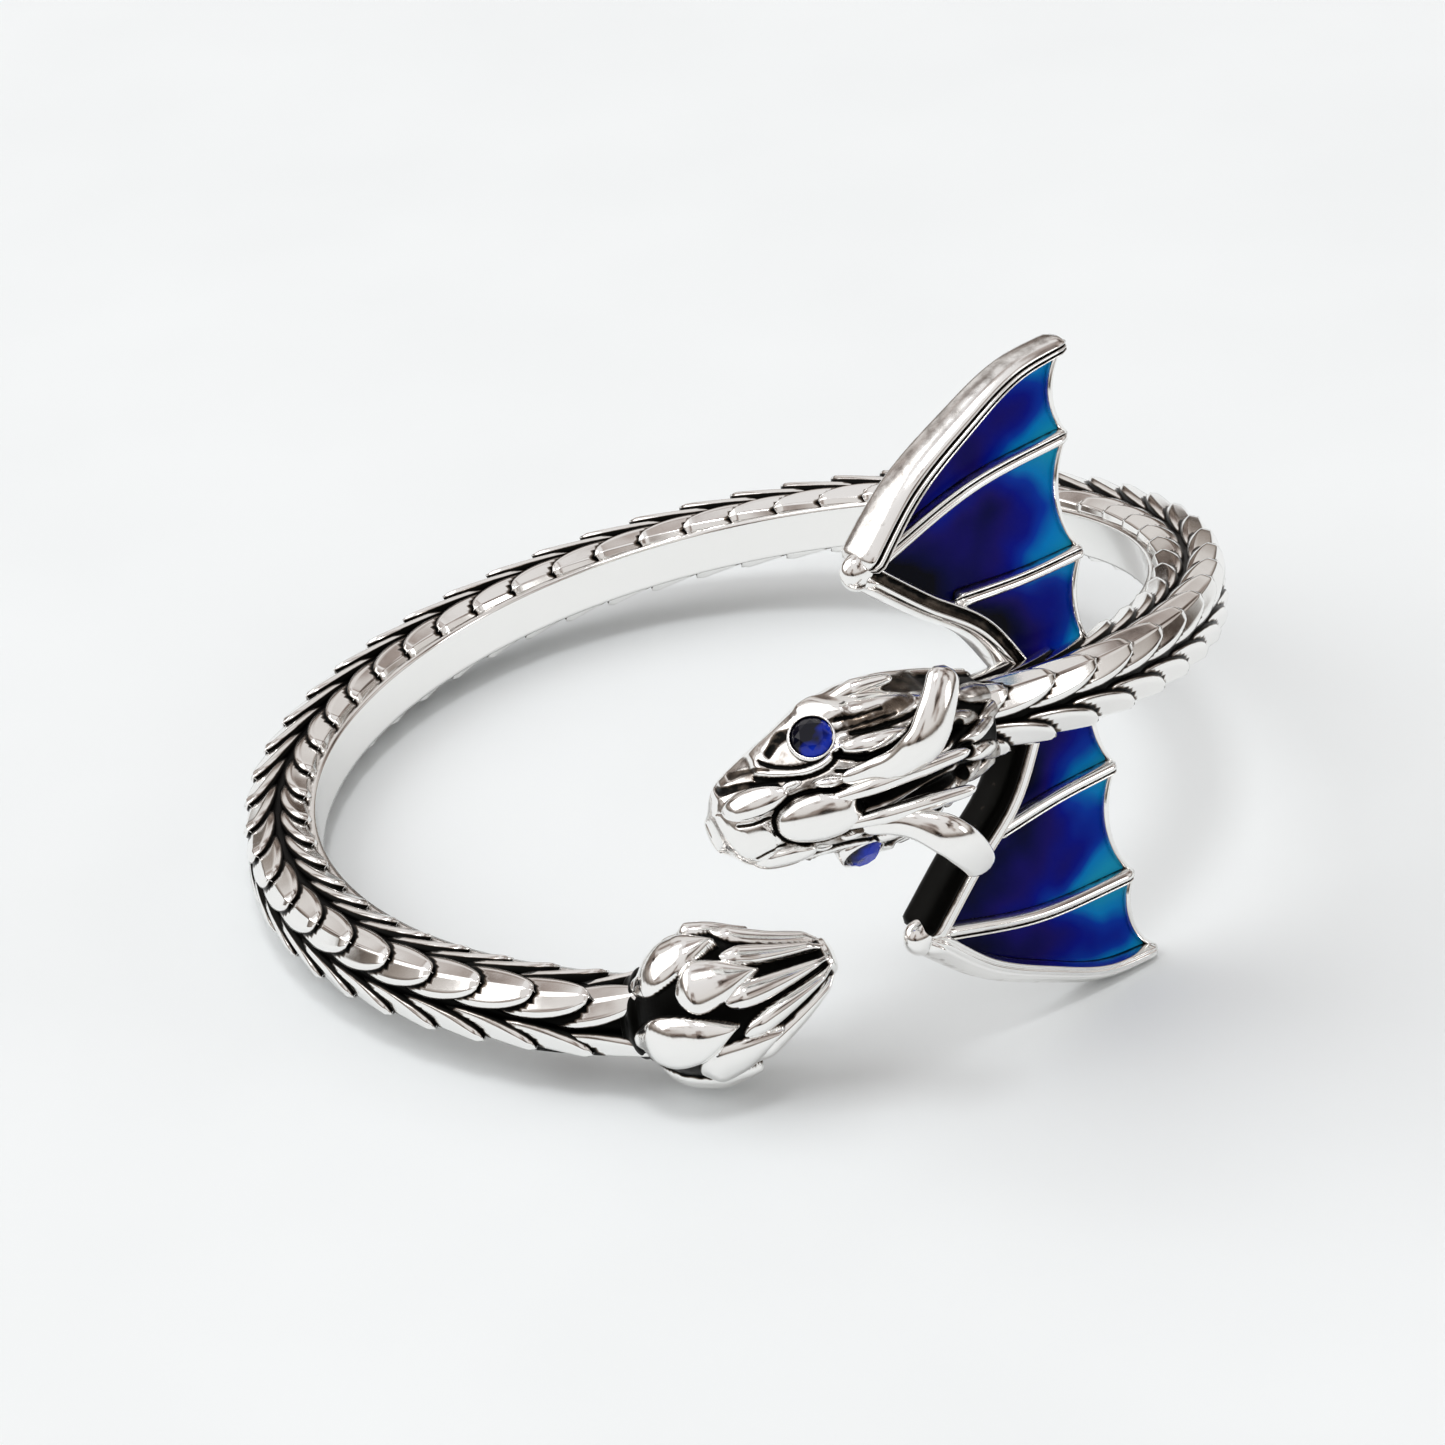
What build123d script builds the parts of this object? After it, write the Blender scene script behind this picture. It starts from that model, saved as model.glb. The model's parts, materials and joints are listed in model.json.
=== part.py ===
from build123d import *
import os
from collections import namedtuple
from math import cos, exp, pi, radians, sin, sqrt
import numpy as np

# A dragon ring: an open silver band of overlapping scales that ends in a tail bud and in a dragon's head,
# with two enamelled wings behind the head and a blue stone in each eye.
# It is drawn round the finger's axis first, and then laid down as it rests on a table.

# Band, in millimetres as all lengths
finger_diameter = 17.5
band_wire = 1.88
inner_flat = 1.0
bypass_rise = 4.15
scale_pitch = 1.1
scale_lift = 0.13
scale_step = 0.09
scale_slant = 1.8
row_turn = 90
groove_depth = 0.17
groove_reach = 15
smooth_from = 120
smooth_by = 148

# Tail bud
bud_length = 3.75
bud_width = 3.26
bud_height = 1.62
bud_leaf_lift = 0.16
bud_leaves = 6
leaf_end = 0.5
leaf_point = 0.12
leaf_edge = 0.04
leaf_valley = 0.6
leaf_fade = 0.15

# Head
head_length = 5.5
head_width = 3.5
head_height = 1.75
jaw_depth = 0.95
mouth_depth = 0.1

# Eyes: a round cut stone in a bored seat with a raised rim
stone_diameter = 0.8
stone_table = 0.46
stone_crown = 0.16
stone_girdle = 0.06
stone_pavilion = 0.26
stone_gap = 0.03
rim_wire = 0.17
eye_tilt = 44

# Horns and neck spikes
horn_wire = 0.76
spike_wire = 0.42

# Wings: flat enamel cells between cast bars, in one plane across the back of the neck
wing_angle = -56.7
wing_inset = 0.58
wing_setback = 0.51
wing_rise = -0.16
wing_length = 5.75
wing_span = 6.35
wing_plate = 0.45
enamel_depth = 0.22
enamel_gap = 0.03
cell_rim = 0.09
lead_bar_width = 0.5
lead_bar_height = 1.0
lead_bar_raised = 0.42
arm_bar_width = 0.5
arm_bar_height = 0.95
arm_bar_raised = 0.36
rib_width = 0.26
rib_height = 0.5
rib_raised = 0.2
neck_clearance = 0.1

# How many steps the faceted skins and bars are drawn in
skin_columns = 24
bud_steps = 14
head_steps = 28
horn_steps = 9
eye_columns = 16
lead_steps = 13
arm_steps = 9
rib_steps = 7

# The spine along the ring, as shares of the band's radius and of the rise
SpineRow = namedtuple("SpineRow", "angle radius rise")
SPINE = [
    SpineRow(276.4, 1.000, -0.288),
    SpineRow(270.0, 1.000, -0.358),
    SpineRow(262.0, 1.000, -0.420),
    SpineRow(254.0, 1.000, -0.450),
    SpineRow(240.0, 1.000, -0.410),
    SpineRow(180.0, 1.000, -0.236),
    SpineRow(120.0, 1.000, -0.063),
    SpineRow(60.0, 1.000, 0.111),
    SpineRow(30.0, 1.007, 0.212),
    SpineRow(0.0, 1.024, 0.347),
    SpineRow(-30.0, 1.052, 0.516),
    SpineRow(-50.0, 1.080, 0.656),
    SpineRow(-64.0, 1.097, 0.752),
    SpineRow(-70.5, 1.105, 0.774),
    SpineRow(-77.5, 1.110, 0.749),
    SpineRow(-85.2, 1.119, 0.675),
    SpineRow(-93.5, 1.136, 0.554),
]
# Sections of the bud and the head, as shares of their length, half width, height and depth
BodyRow = namedtuple("BodyRow", "along side outer inner")
BUD = [
    BodyRow(0.00, 0.16, 0.24, 0.40),
    BodyRow(0.03, 0.28, 0.38, 0.68),
    BodyRow(0.14, 0.43, 0.52, 0.88),
    BodyRow(0.32, 0.66, 0.72, 0.95),
    BodyRow(0.52, 0.92, 0.92, 1.00),
    BodyRow(0.68, 1.00, 1.00, 1.00),
    BodyRow(0.84, 0.90, 0.90, 1.00),
    BodyRow(0.95, 0.70, 0.72, 1.00),
]
HEAD = [
    BodyRow(0.06, 0.60, 0.62, 0.90),
    BodyRow(0.16, 0.70, 0.78, 0.95),
    BodyRow(0.30, 0.84, 0.98, 0.95),
    BodyRow(0.44, 0.90, 1.04, 0.92),
    BodyRow(0.58, 0.85, 0.99, 0.86),
    BodyRow(0.70, 0.70, 0.86, 0.80),
    BodyRow(0.82, 0.60, 0.72, 0.74),
    BodyRow(0.92, 0.50, 0.60, 0.62),
    BodyRow(0.97, 0.34, 0.42, 0.44),
    BodyRow(1.00, 0.14, 0.18, 0.18),
]
# A bump on the bud or the head: where it stands, its reach along and round, and its height
BumpRow = namedtuple("BumpRow", "along angle length turn lift")
HEAD_BUMPS = [
    BumpRow(0.88, 42, 0.07, 20, 0.14),
    BumpRow(0.72, 0, 0.12, 22, 0.12),
    BumpRow(0.42, 74, 0.10, 16, 0.14),
    BumpRow(0.52, 30, 0.12, 12, 0.07),
    BumpRow(0.50, 0, 0.14, 9, -0.10),
    BumpRow(0.80, 84, 0.08, 12, 0.06),
]
# The corner of the mouth and the angle of its slit round the jaw
mouth_corner = 0.42
mouth_angle = 108
mouth_reach = 12
# Points of the horns and spikes: along the head, sideways and outwards, as shares of its sizes
TrailRow = namedtuple("TrailRow", "along side outer wire")
HORN = [
    TrailRow(0.57, 0.30, 0.88, 0.55),
    TrailRow(0.47, 0.35, 1.06, 0.75),
    TrailRow(0.37, 0.49, 1.22, 0.95),
    TrailRow(0.30, 0.75, 1.25, 1.00),
    TrailRow(0.25, 0.98, 1.21, 0.88),
    TrailRow(0.205, 1.20, 1.09, 0.68),
]
EYE = TrailRow(0.580, 0.743, 0.560, 0)
SPIKES = {
    "crown": [
        TrailRow(0.66, 0.16, 0.86, 0.60),
        TrailRow(0.50, 0.18, 1.08, 1.00),
        TrailRow(0.36, 0.19, 1.16, 1.00),
        TrailRow(0.20, 0.20, 1.22, 0.55),
    ],
    "cheek": [
        TrailRow(0.52, 0.80, 0.20, 0.60),
        TrailRow(0.36, 0.92, 0.26, 1.10),
        TrailRow(0.20, 0.90, 0.34, 0.50),
    ],
}
# Points of a wing's bars: forwards towards the head and outwards from the neck, as shares of its sizes
WingPoint = namedtuple("WingPoint", "forward out")
BarSize = namedtuple("BarSize", "width height raised taper")
lead_taper = 0.6
rib_taper = 0.85
ARM_BAR = [
    WingPoint(0.610, 0.600),
    WingPoint(0.400, 0.432),
    WingPoint(0.195, 0.285),
    WingPoint(0.040, 0.070),
]
LEAD_BAR = [
    WingPoint(0.610, 0.600),
    WingPoint(0.380, 0.785),
    WingPoint(0.141, 0.901),
    WingPoint(-0.105, 0.993),
    WingPoint(-0.352, 1.016),
]
UPPER_RIB = [
    WingPoint(0.550, 0.610),
    WingPoint(0.127, 0.710),
    WingPoint(-0.301, 0.735),
]
LOWER_RIB = [
    WingPoint(0.260, 0.385),
    WingPoint(-0.030, 0.362),
    WingPoint(-0.292, 0.360),
]
NOTCHES = [
    WingPoint(-0.262, 0.848),
    WingPoint(-0.226, 0.520),
    WingPoint(-0.232, 0.195),
]
ROOT_BACK = WingPoint(-0.270, 0.045)

# Sizes that follow from these
wire_radius = band_wire / 2
flat_drop = sqrt(wire_radius**2 - (inner_flat / 2) ** 2)
centre_radius = finger_diameter / 2 + flat_drop


def through(xs, ys, x):
    """A smooth curve through the points xs, ys, read at x."""
    xs = np.asarray(xs, float)
    ys = np.asarray(ys, float)
    slopes = np.gradient(ys, xs)
    i = int(np.clip(np.searchsorted(xs, x) - 1, 0, len(xs) - 2))
    step = xs[i + 1] - xs[i]
    t = (x - xs[i]) / step
    start = (2 * t**3 - 3 * t**2 + 1) * ys[i] + (t**3 - 2 * t**2 + t) * step * slopes[i]
    end = (3 * t**2 - 2 * t**3) * ys[i + 1] + (t**3 - t**2) * step * slopes[i + 1]
    return start + end


def ramp(x, low, high):
    """0 below low, 1 above high, and smooth between them."""
    t = min(max((x - low) / (high - low), 0.0), 1.0)
    return t * t * (3 - 2 * t)


def unit(v):
    return v / np.linalg.norm(v)


# The spine runs down the middle of the band, from the bud's tip round to the snout
def spine_at_turn(turn):
    turns = [SPINE[0].angle - row.angle for row in SPINE]
    angle = radians(SPINE[0].angle - turn)
    radius = centre_radius * through(turns, [row.radius for row in SPINE], turn)
    rise = bypass_rise * through(turns, [row.rise for row in SPINE], turn)
    return np.array([radius * cos(angle), radius * sin(angle), rise])


spine_turns = np.linspace(0, SPINE[0].angle - SPINE[-1].angle, 900)
spine_points = np.array([spine_at_turn(turn) for turn in spine_turns])
spine_steps = np.linalg.norm(np.diff(spine_points, axis=0), axis=1)
spine_lengths = np.concatenate([[0.0], np.cumsum(spine_steps)])
spine_length = spine_lengths[-1]
head_start = spine_length - head_length


def spine(s):
    """The spine's point at the length s from the bud's tip."""
    return spine_at_turn(np.interp(s, spine_lengths, spine_turns))


def frame_at(s):
    """The spine's point at s, with the directions forwards, outwards and sideways."""
    nudge = 0.05
    s = min(max(s, nudge), spine_length - nudge)
    point = spine(s)
    forward = unit(spine(s + nudge) - spine(s - nudge))
    outward = np.array([point[0], point[1], 0.0])
    outward = unit(outward - outward.dot(forward) * forward)
    return point, forward, outward, np.cross(forward, outward)


def section_rows():
    """Length, half width, outer reach and inner reach of the skin from the bud's tip to the snout."""
    rows = []
    half = bud_width / 2
    for row in BUD:
        rows.append((row.along * bud_length, row.side * half, row.outer * bud_height, row.inner * wire_radius))
    rows.append((bud_length, wire_radius, wire_radius, wire_radius))
    rows.append((head_start, wire_radius, wire_radius, wire_radius))
    half = head_width / 2
    for row in HEAD:
        length = head_start + row.along * head_length
        rows.append((length, row.side * half, row.outer * head_height, row.inner * jaw_depth))
    return np.array(rows).T


skin_sections = section_rows()


def section(s):
    """Half the width at s, and how far the skin reaches outwards and inwards."""
    return [float(np.interp(s, skin_sections[0], skin_sections[column])) for column in (1, 2, 3)]


def band_share(s):
    """1 along the scaled band, and 0 on the bud and the head."""
    from_bud = ramp(s, bud_length, bud_length + 2 * scale_pitch)
    to_head = ramp(s, head_start - 3 * scale_pitch, head_start + scale_pitch)
    return from_bud * (1 - to_head)


def row_place(angle):
    """How far this angle lies from the ridge of its row of scales: 0 on the ridge and 1 in the groove."""
    return abs(2 * (angle / row_turn % 1) - 1)


def scale_shift(angle):
    """How far forwards a scale's edge lies at this angle round the band, from its tip on the ridge."""
    return scale_slant * row_place(angle) ** 2


def band_relief(angle, phase):
    """The height of the scales: phase runs from 0 at a scale's edge to 1 at the next edge forwards."""
    on_scale = 1 - ramp(abs(angle), smooth_from, smooth_by)
    from_groove = (1 - row_place(angle)) * row_turn / 2
    groove = groove_depth * max(0.0, 1 - from_groove / groove_reach)
    return -(scale_lift * phase + groove) * on_scale


def bump_relief(rows, along, angle):
    """The height of the bumps at this place on the head."""
    height = 0.0
    for row in rows:
        reach = ((along - row.along) / row.length) ** 2 + ((abs(angle) - row.angle) / row.turn) ** 2
        height += row.lift * exp(-reach)
    return height


def mouth_relief(along, angle):
    """The slit of the mouth, from its corner round the snout."""
    across = max(0.0, 1 - abs(abs(angle) - mouth_angle) / mouth_reach)
    return -mouth_depth * across * ramp(along, mouth_corner, mouth_corner + mouth_depth)


def leaf_relief(along, angle):
    """Six leaves that close on the bud's tip, under six round ones with their tips between them."""
    crest = abs(cos(radians(angle * bud_leaves / 2)))
    under = crest - leaf_valley
    over = 1 - crest
    edge = leaf_end - leaf_point * (1 - crest)
    covered = ramp(along, edge, edge + leaf_edge)
    leaves = under * (1 - covered) + over * covered
    fade = ramp(along, 0, leaf_fade) * (1 - ramp(along, 1 - leaf_fade, 1))
    return bud_leaf_lift * leaves * fade


def skin_point(s, angle, phase):
    """The skin's point at this length and angle, where angle 0 faces outwards."""
    share = band_share(s)
    place = s + share * scale_shift(angle)
    point, forward, outward, side = frame_at(place)
    half_width, outer, inner = section(place)
    turn = radians(angle)
    x = (outer if cos(turn) > 0 else inner) * cos(turn)
    y = half_width * sin(turn)
    lift = share * band_relief(angle, phase)
    if place < bud_length:
        lift += leaf_relief(place / bud_length, angle)
    if place > head_start:
        along = (place - head_start) / head_length
        lift += bump_relief(HEAD_BUMPS, along, angle) + mouth_relief(along, angle)
    reach = sqrt(x * x + y * y)
    x += lift * x / reach
    y += lift * y / reach
    return point + max(x, -flat_drop) * outward + y * side


def facet(corners):
    return Face(Wire.make_polygon([tuple(corner) for corner in corners]))


def skin_solid(rings):
    """One closed solid over rings of points, with each end closed by a fan to its middle."""
    faces = []
    count = len(rings[0])
    for low, high in zip(rings[:-1], rings[1:]):
        for i in range(count):
            j = (i + 1) % count
            faces.append(facet([low[i], low[j], high[j]]))
            faces.append(facet([low[i], high[j], high[i]]))
    for ring in (rings[0], rings[-1]):
        middle = sum(ring) / count
        faces += [facet([ring[i], ring[(i + 1) % count], middle]) for i in range(count)]
    return Solid(Shell(faces))


def body_skin():
    """The tail bud, the scaled band and the head as one skin."""
    stations = [(row * bud_length / bud_steps, 1.0) for row in range(1, bud_steps + 1)]
    scales = int((head_start - bud_length) / scale_pitch)
    pitch = (head_start - bud_length) / scales
    for count in range(1, scales + 1):
        edge = bud_length + count * pitch
        stations += [(edge - scale_step, 1.0), (edge, 0.0)]
    stations += [(head_start + row * head_length / head_steps, 0.0) for row in range(1, head_steps + 1)]
    angles = [360 * i / skin_columns for i in range(skin_columns)]
    angles = [angle if angle <= 180 else angle - 360 for angle in angles]
    return skin_solid([[skin_point(s, angle, phase) for angle in angles] for s, phase in stations])


def trail(points, count):
    """A smooth row of points through a few points in space."""
    points = np.array(points, float)
    steps = np.linalg.norm(np.diff(points, axis=0), axis=1)
    lengths = np.concatenate([[0.0], np.cumsum(steps)])
    reads = np.linspace(0, lengths[-1], count)
    return [np.array([through(lengths, column, read) for column in points.T]) for read in reads]


def rod(points, widths, heights, up, sides=8):
    """A bar along the points, with an oval section of these half widths and half heights and round ends."""
    rings = []
    count = len(points)
    cap = sqrt(0.5)
    for i, (point, width, height) in enumerate(zip(points, widths, heights)):
        before = points[max(i - 1, 0)]
        after = points[min(i + 1, count - 1)]
        forward = unit(after - before)
        across = unit(np.cross(forward, up))
        top = np.cross(across, forward)
        slices = [(0.0, 1.0)]
        if i == 0:
            slices = [(-cap, cap)] + slices
        if i == count - 1:
            slices = slices + [(cap, cap)]
        for ahead, share in slices:
            middle = point + forward * ahead * width
            rings.append([
                middle
                + across * width * share * cos(2 * pi * (k + 0.5) / sides)
                + top * height * share * sin(2 * pi * (k + 0.5) / sides)
                for k in range(sides)
            ])
    return skin_solid(rings)


def head_point(along, side, outer):
    """A point given along the head, sideways and outwards, in the head's own shares."""
    point, forward, outward, sideways = frame_at(head_start + along * head_length)
    return point + sideways * side * head_width / 2 + outward * outer * head_height


def head_rod(rows, hand, wire):
    """A horn or a spike of the head: hand is 1 above and -1 below."""
    points = trail([head_point(row.along, hand * row.side, row.outer) for row in rows], horn_steps)
    reads = np.linspace(0, len(rows) - 1, horn_steps)
    halves = wire / 2 * np.interp(reads, range(len(rows)), [row.wire for row in rows])
    return rod(points, halves, halves, frame_at(spine_length - head_length / 2)[2])


# Each wing lies in one plane, which faces outwards across the back of the neck
wing_outward = np.array([cos(radians(wing_angle)), sin(radians(wing_angle)), 0.0])
wing_forward = np.array([sin(radians(wing_angle)), -cos(radians(wing_angle)), 0.0])
wing_neck = spine_at_turn(SPINE[0].angle - wing_angle)
wing_centre = wing_neck - wing_outward * wing_inset - wing_forward * wing_setback
wing_centre[2] += wing_rise
wing_plane = Plane(origin=tuple(wing_centre), x_dir=tuple(wing_forward), z_dir=tuple(wing_outward))


def flat_point(row, hand):
    """A point in the wing's own plane: hand is 1 for the upper wing and -1 for the lower."""
    return (row.forward * wing_length, -hand * row.out * wing_span)


def flat_points(rows, hand, count):
    """Points along a bar in the wing's own plane."""
    return [tuple(point) for point in trail([flat_point(row, hand) for row in rows], count)]


def wing_bar(rows, hand, size, grow, count):
    """A bar of the wing's frame, which tapers to its end and stands raised above the enamel."""
    across = np.cross(wing_outward, wing_forward)
    level = wing_centre + wing_outward * (size.raised - size.height / 2)
    flats = flat_points(rows, hand, count)
    points = [level + wing_forward * flat[0] + across * flat[1] for flat in flats]
    shares = np.linspace(1.0, size.taper, count)
    return rod(points, size.width / 2 * shares + grow, size.height / 2 * shares + grow, wing_outward)


def wing_bars(hand, grow=0.0):
    lead = BarSize(lead_bar_width, lead_bar_height, lead_bar_raised, lead_taper)
    arm = BarSize(arm_bar_width, arm_bar_height, arm_bar_raised, 1.0)
    rib = BarSize(rib_width, rib_height, rib_raised, rib_taper)
    return [
        wing_bar(LEAD_BAR, hand, lead, grow, lead_steps),
        wing_bar(ARM_BAR, hand, arm, grow, arm_steps),
        wing_bar(UPPER_RIB, hand, rib, grow, rib_steps),
        wing_bar(LOWER_RIB, hand, rib, grow, rib_steps),
    ]


def wing_outline(hand, inset=0.0):
    """The wing's flat outline: bars in front, and three hollow arcs between the ribs' ends behind."""
    arm = flat_points(ARM_BAR, hand, arm_steps)
    lead = flat_points(LEAD_BAR, hand, lead_steps)
    ends = [lead[-1]] + [flat_point(row, hand) for row in (UPPER_RIB[-1], LOWER_RIB[-1], ROOT_BACK)]
    edges = Polyline(*arm[::-1], *lead[1:])
    for start, notch, end in zip(ends[:-1], NOTCHES, ends[1:]):
        edges += ThreePointArc(start, flat_point(notch, hand), end)
    edges += Line(ends[-1], arm[-1])
    outline = make_face(edges)
    if inset:
        outline = offset(outline, amount=-inset)
    return outline


def wing_cells(hand, inset):
    """The three flat enamel cells of a wing, from its front edge to its root, inset from the outline."""
    outline = wing_outline(hand, inset)
    lead = flat_points(LEAD_BAR, hand, lead_steps)
    arm = flat_points(ARM_BAR, hand, arm_steps)
    upper = flat_points(UPPER_RIB, hand, rib_steps)
    lower = flat_points(LOWER_RIB, hand, rib_steps)
    far_back = (-wing_length, upper[-1][1])
    low_back = (-wing_length, lower[-1][1])
    outer = make_face(Polyline(*lead, (-wing_length, lead[-1][1]), far_back, *upper[::-1], lead[0]))
    middle = make_face(Polyline(*upper, far_back, low_back, *lower[::-1], arm[2], lead[0], upper[0]))
    root = make_face(Polyline(*lower, low_back, (-wing_length, 0), arm[-1], *arm[-2:1:-1], lower[0]))
    return [outline & outer, outline & middle, outline & root]


# Eyes
def eye_plane(hand):
    """The plane of a stone's girdle, facing out of the head."""
    point, forward, outward, side = frame_at(head_start + EYE.along * head_length)
    facing = unit(outward * cos(radians(eye_tilt)) + hand * side * sin(radians(eye_tilt)))
    centre = head_point(EYE.along, hand * EYE.side, EYE.outer)
    return Plane(origin=tuple(centre), x_dir=tuple(forward), z_dir=tuple(facing))


def cut_stone(plane):
    """A round stone with a flat table, eight crown facets, a girdle and eight facets to a point below."""

    def ring(radius, height):
        turns = [pi * i / 4 for i in range(8)]
        return [plane.from_local_coords(Vector(radius * cos(t), radius * sin(t), height)) for t in turns]

    top = ring(stone_table / 2, stone_crown)
    upper = ring(stone_diameter / 2, 0)
    lower = ring(stone_diameter / 2, -stone_girdle)
    point = plane.from_local_coords(Vector(0, 0, -stone_girdle - stone_pavilion))
    faces = [facet(top)]
    for high, low in ((top, upper), (upper, lower)):
        faces += [facet([high[i], high[(i + 1) % 8], low[(i + 1) % 8], low[i]]) for i in range(8)]
    faces += [facet([lower[i], lower[(i + 1) % 8], point]) for i in range(8)]
    return Solid(Shell(faces))


def round_points(plane, radius, height):
    """Points on a circle about the stone's axis, at this height over its girdle."""
    turns = [2 * pi * i / eye_columns for i in range(eye_columns)]
    return [np.array(tuple(plane.from_local_coords(Vector(radius * cos(t), radius * sin(t), height)))) for t in turns]


def eye_seat(plane):
    """The bore that a stone sits in, open outwards."""
    radius = stone_diameter / 2 / cos(pi / eye_columns) + stone_gap
    depth = stone_girdle + stone_pavilion + stone_gap
    return skin_solid([round_points(plane, radius, -depth), round_points(plane, radius, stone_diameter)])


def eye_rim(plane):
    """A raised ring round the seat, filled in the middle until the seat is bored."""
    inner = stone_diameter / 2
    slices = [(inner + rim_wire / 2, -rim_wire), (inner + rim_wire, -rim_wire / 4), (inner + rim_wire, rim_wire / 4)]
    slices += [(inner + rim_wire * 0.75, rim_wire / 2), (inner + rim_wire / 4, rim_wire / 2)]
    return skin_solid([round_points(plane, radius, height) for radius, height in slices])


# Pieces
def wing_solid(hand):
    """A wing's plate with its enamel cells sunk in it, under the bars of its frame."""
    plate = extrude(wing_plane * wing_outline(hand), amount=-wing_plate)
    for cell in wing_cells(hand, cell_rim):
        plate = plate.cut(extrude(wing_plane * cell, amount=-enamel_depth))
    return plate.fuse(*wing_bars(hand))


def wing_enamels(hand):
    """The enamel fills of a wing, clear of its bars and of the neck by the enamel's gap."""
    neck_steps = np.linspace(head_start - wing_length, head_start + head_length / 2, skin_columns)
    neck_points = [spine(step) for step in neck_steps]
    neck_halves = [wire_radius + neck_clearance] * len(neck_points)
    neck = rod(neck_points, neck_halves, neck_halves, np.array([0.0, 0.0, 1.0]), 16)
    bars = wing_bars(hand, enamel_gap)
    thickness = enamel_depth - enamel_gap
    fills = []
    for cell in wing_cells(hand, cell_rim + enamel_gap):
        fill = extrude(wing_plane * Pos(0, 0, -thickness) * cell, amount=thickness)
        pieces = fill.cut(neck, *bars).solids()
        fills.append(max(pieces, key=lambda piece: piece.volume))
    return fills


def ring_casting():
    """Everything that is cast silver, as one solid."""
    solid = body_skin()
    for hand in (1, -1):
        added = [head_rod(HORN, hand, horn_wire)]
        added += [head_rod(rows, hand, spike_wire) for rows in SPIKES.values()]
        added += [eye_rim(eye_plane(hand)), wing_solid(hand)]
        for piece in added:
            solid = solid.fuse(piece)
        solid = solid.cut(eye_seat(eye_plane(hand)))
    return solid


# Resting on a table
def weight_falls_between(contacts, centre, up):
    turns = [
        np.cross(contacts[(i + 1) % 3] - contacts[i], centre - contacts[i]).dot(up) for i in range(3)
    ]
    return min(turns) > 0 or max(turns) < 0


def resting_direction(points, centre):
    """The way that points up when the ring lies still: three points carry it, with its weight between them."""
    up = np.array([0.0, 0.0, 1.0])
    for _ in range(4):
        across = unit(np.cross(up, np.array([0.0, 1.0, 0.0])))
        along = np.cross(up, across)
        far = 50 * finger_diameter
        turns = (0, 2 * pi / 3, 4 * pi / 3)
        contacts = [centre + far * (cos(turn) * across + sin(turn) * along + 4 * up) for turn in turns]
        while True:
            normal = unit(np.cross(contacts[1] - contacts[0], contacts[2] - contacts[0]))
            normal = normal if normal.dot(up) > 0 else -normal
            heights = (points - contacts[0]) @ normal
            lowest = int(np.argmin(heights))
            if heights[lowest] > -1e-6:
                break
            for i in range(3):
                trial = contacts[:i] + [points[lowest]] + contacts[i + 1 :]
                if weight_falls_between(trial, centre, up):
                    contacts = trial
                    break
            else:
                break
        up = normal
    return up


casting = ring_casting()
nodes = {"ring_casting": casting}
for hand, name in ((1, "upper"), (-1, "lower")):
    for number, fill in enumerate(wing_enamels(hand), 1):
        nodes[f"{name}_wing_enamel_{number}"] = fill
    nodes[f"{name}_eye_stone"] = cut_stone(eye_plane(hand))

corners = np.array([tuple(vertex.center()) for vertex in casting.vertices()])
table_up = resting_direction(corners, np.array(tuple(casting.center())))
ring_right = np.array([1.0, 0.0, 0.0])
table_right = unit(ring_right - ring_right.dot(table_up) * table_up)
table = Plane(origin=(0, 0, 0), x_dir=tuple(table_right), z_dir=tuple(table_up))
laid = table.to_local_coords(casting)
box = laid.bounding_box()
settle = Pos(-(box.min.X + box.max.X) / 2, -(box.min.Y + box.max.Y) / 2, -box.min.Z)
finger_centre = settle * Pos(*table.to_local_coords(Vector(0, 0, 0)))
finger_axis = table.to_local_coords(Vector(0, 0, 1))

os.makedirs("parts", exist_ok=True)
for name, solid in nodes.items():
    placed = settle * table.to_local_coords(solid)
    export_step(placed, f"parts/{name}.step")
print("finger centre", tuple(finger_centre.position), "finger axis", tuple(finger_axis))
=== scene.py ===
"""A silver dragon ring with enamelled wings, dressed for its portrait on a pale table.

Lengths are in millimetres in the ring's own frame, whose origin is the middle of the finger hole and whose
Z is the finger's axis. RingFrame lays them on the table, in metres.
"""

import json
import logging
import math
from dataclasses import dataclass, field
from enum import Enum
from typing import Callable, NamedTuple, Sequence, TypeVar

import bmesh
import bpy
import numpy as np
from mathutils import Matrix


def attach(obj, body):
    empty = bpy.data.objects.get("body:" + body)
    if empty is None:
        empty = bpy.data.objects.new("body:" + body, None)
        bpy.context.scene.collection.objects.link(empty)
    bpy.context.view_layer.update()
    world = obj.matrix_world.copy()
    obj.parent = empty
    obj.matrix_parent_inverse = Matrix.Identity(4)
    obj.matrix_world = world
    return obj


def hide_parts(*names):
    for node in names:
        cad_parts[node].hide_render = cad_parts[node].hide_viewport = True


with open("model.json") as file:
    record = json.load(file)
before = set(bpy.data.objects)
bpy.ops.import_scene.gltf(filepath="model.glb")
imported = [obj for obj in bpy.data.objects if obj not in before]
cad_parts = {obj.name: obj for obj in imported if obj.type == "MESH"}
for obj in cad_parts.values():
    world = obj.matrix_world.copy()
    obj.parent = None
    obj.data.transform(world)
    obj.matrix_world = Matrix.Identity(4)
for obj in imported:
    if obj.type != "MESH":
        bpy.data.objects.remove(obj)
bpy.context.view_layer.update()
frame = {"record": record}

log = logging.getLogger("dragon_ring")
MM = 0.001
BODY = "root"
CASTING = "ring_casting"
# The attribute holds real oxide, painted shade on some pieces, and a painted reflection on the eye stones
OXIDE_AND_PAINTED_SHADE = "oxide"
CHART = "surface"

# What keeps a rounded end from shrinking to nothing
LEAST = 0.0004

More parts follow.
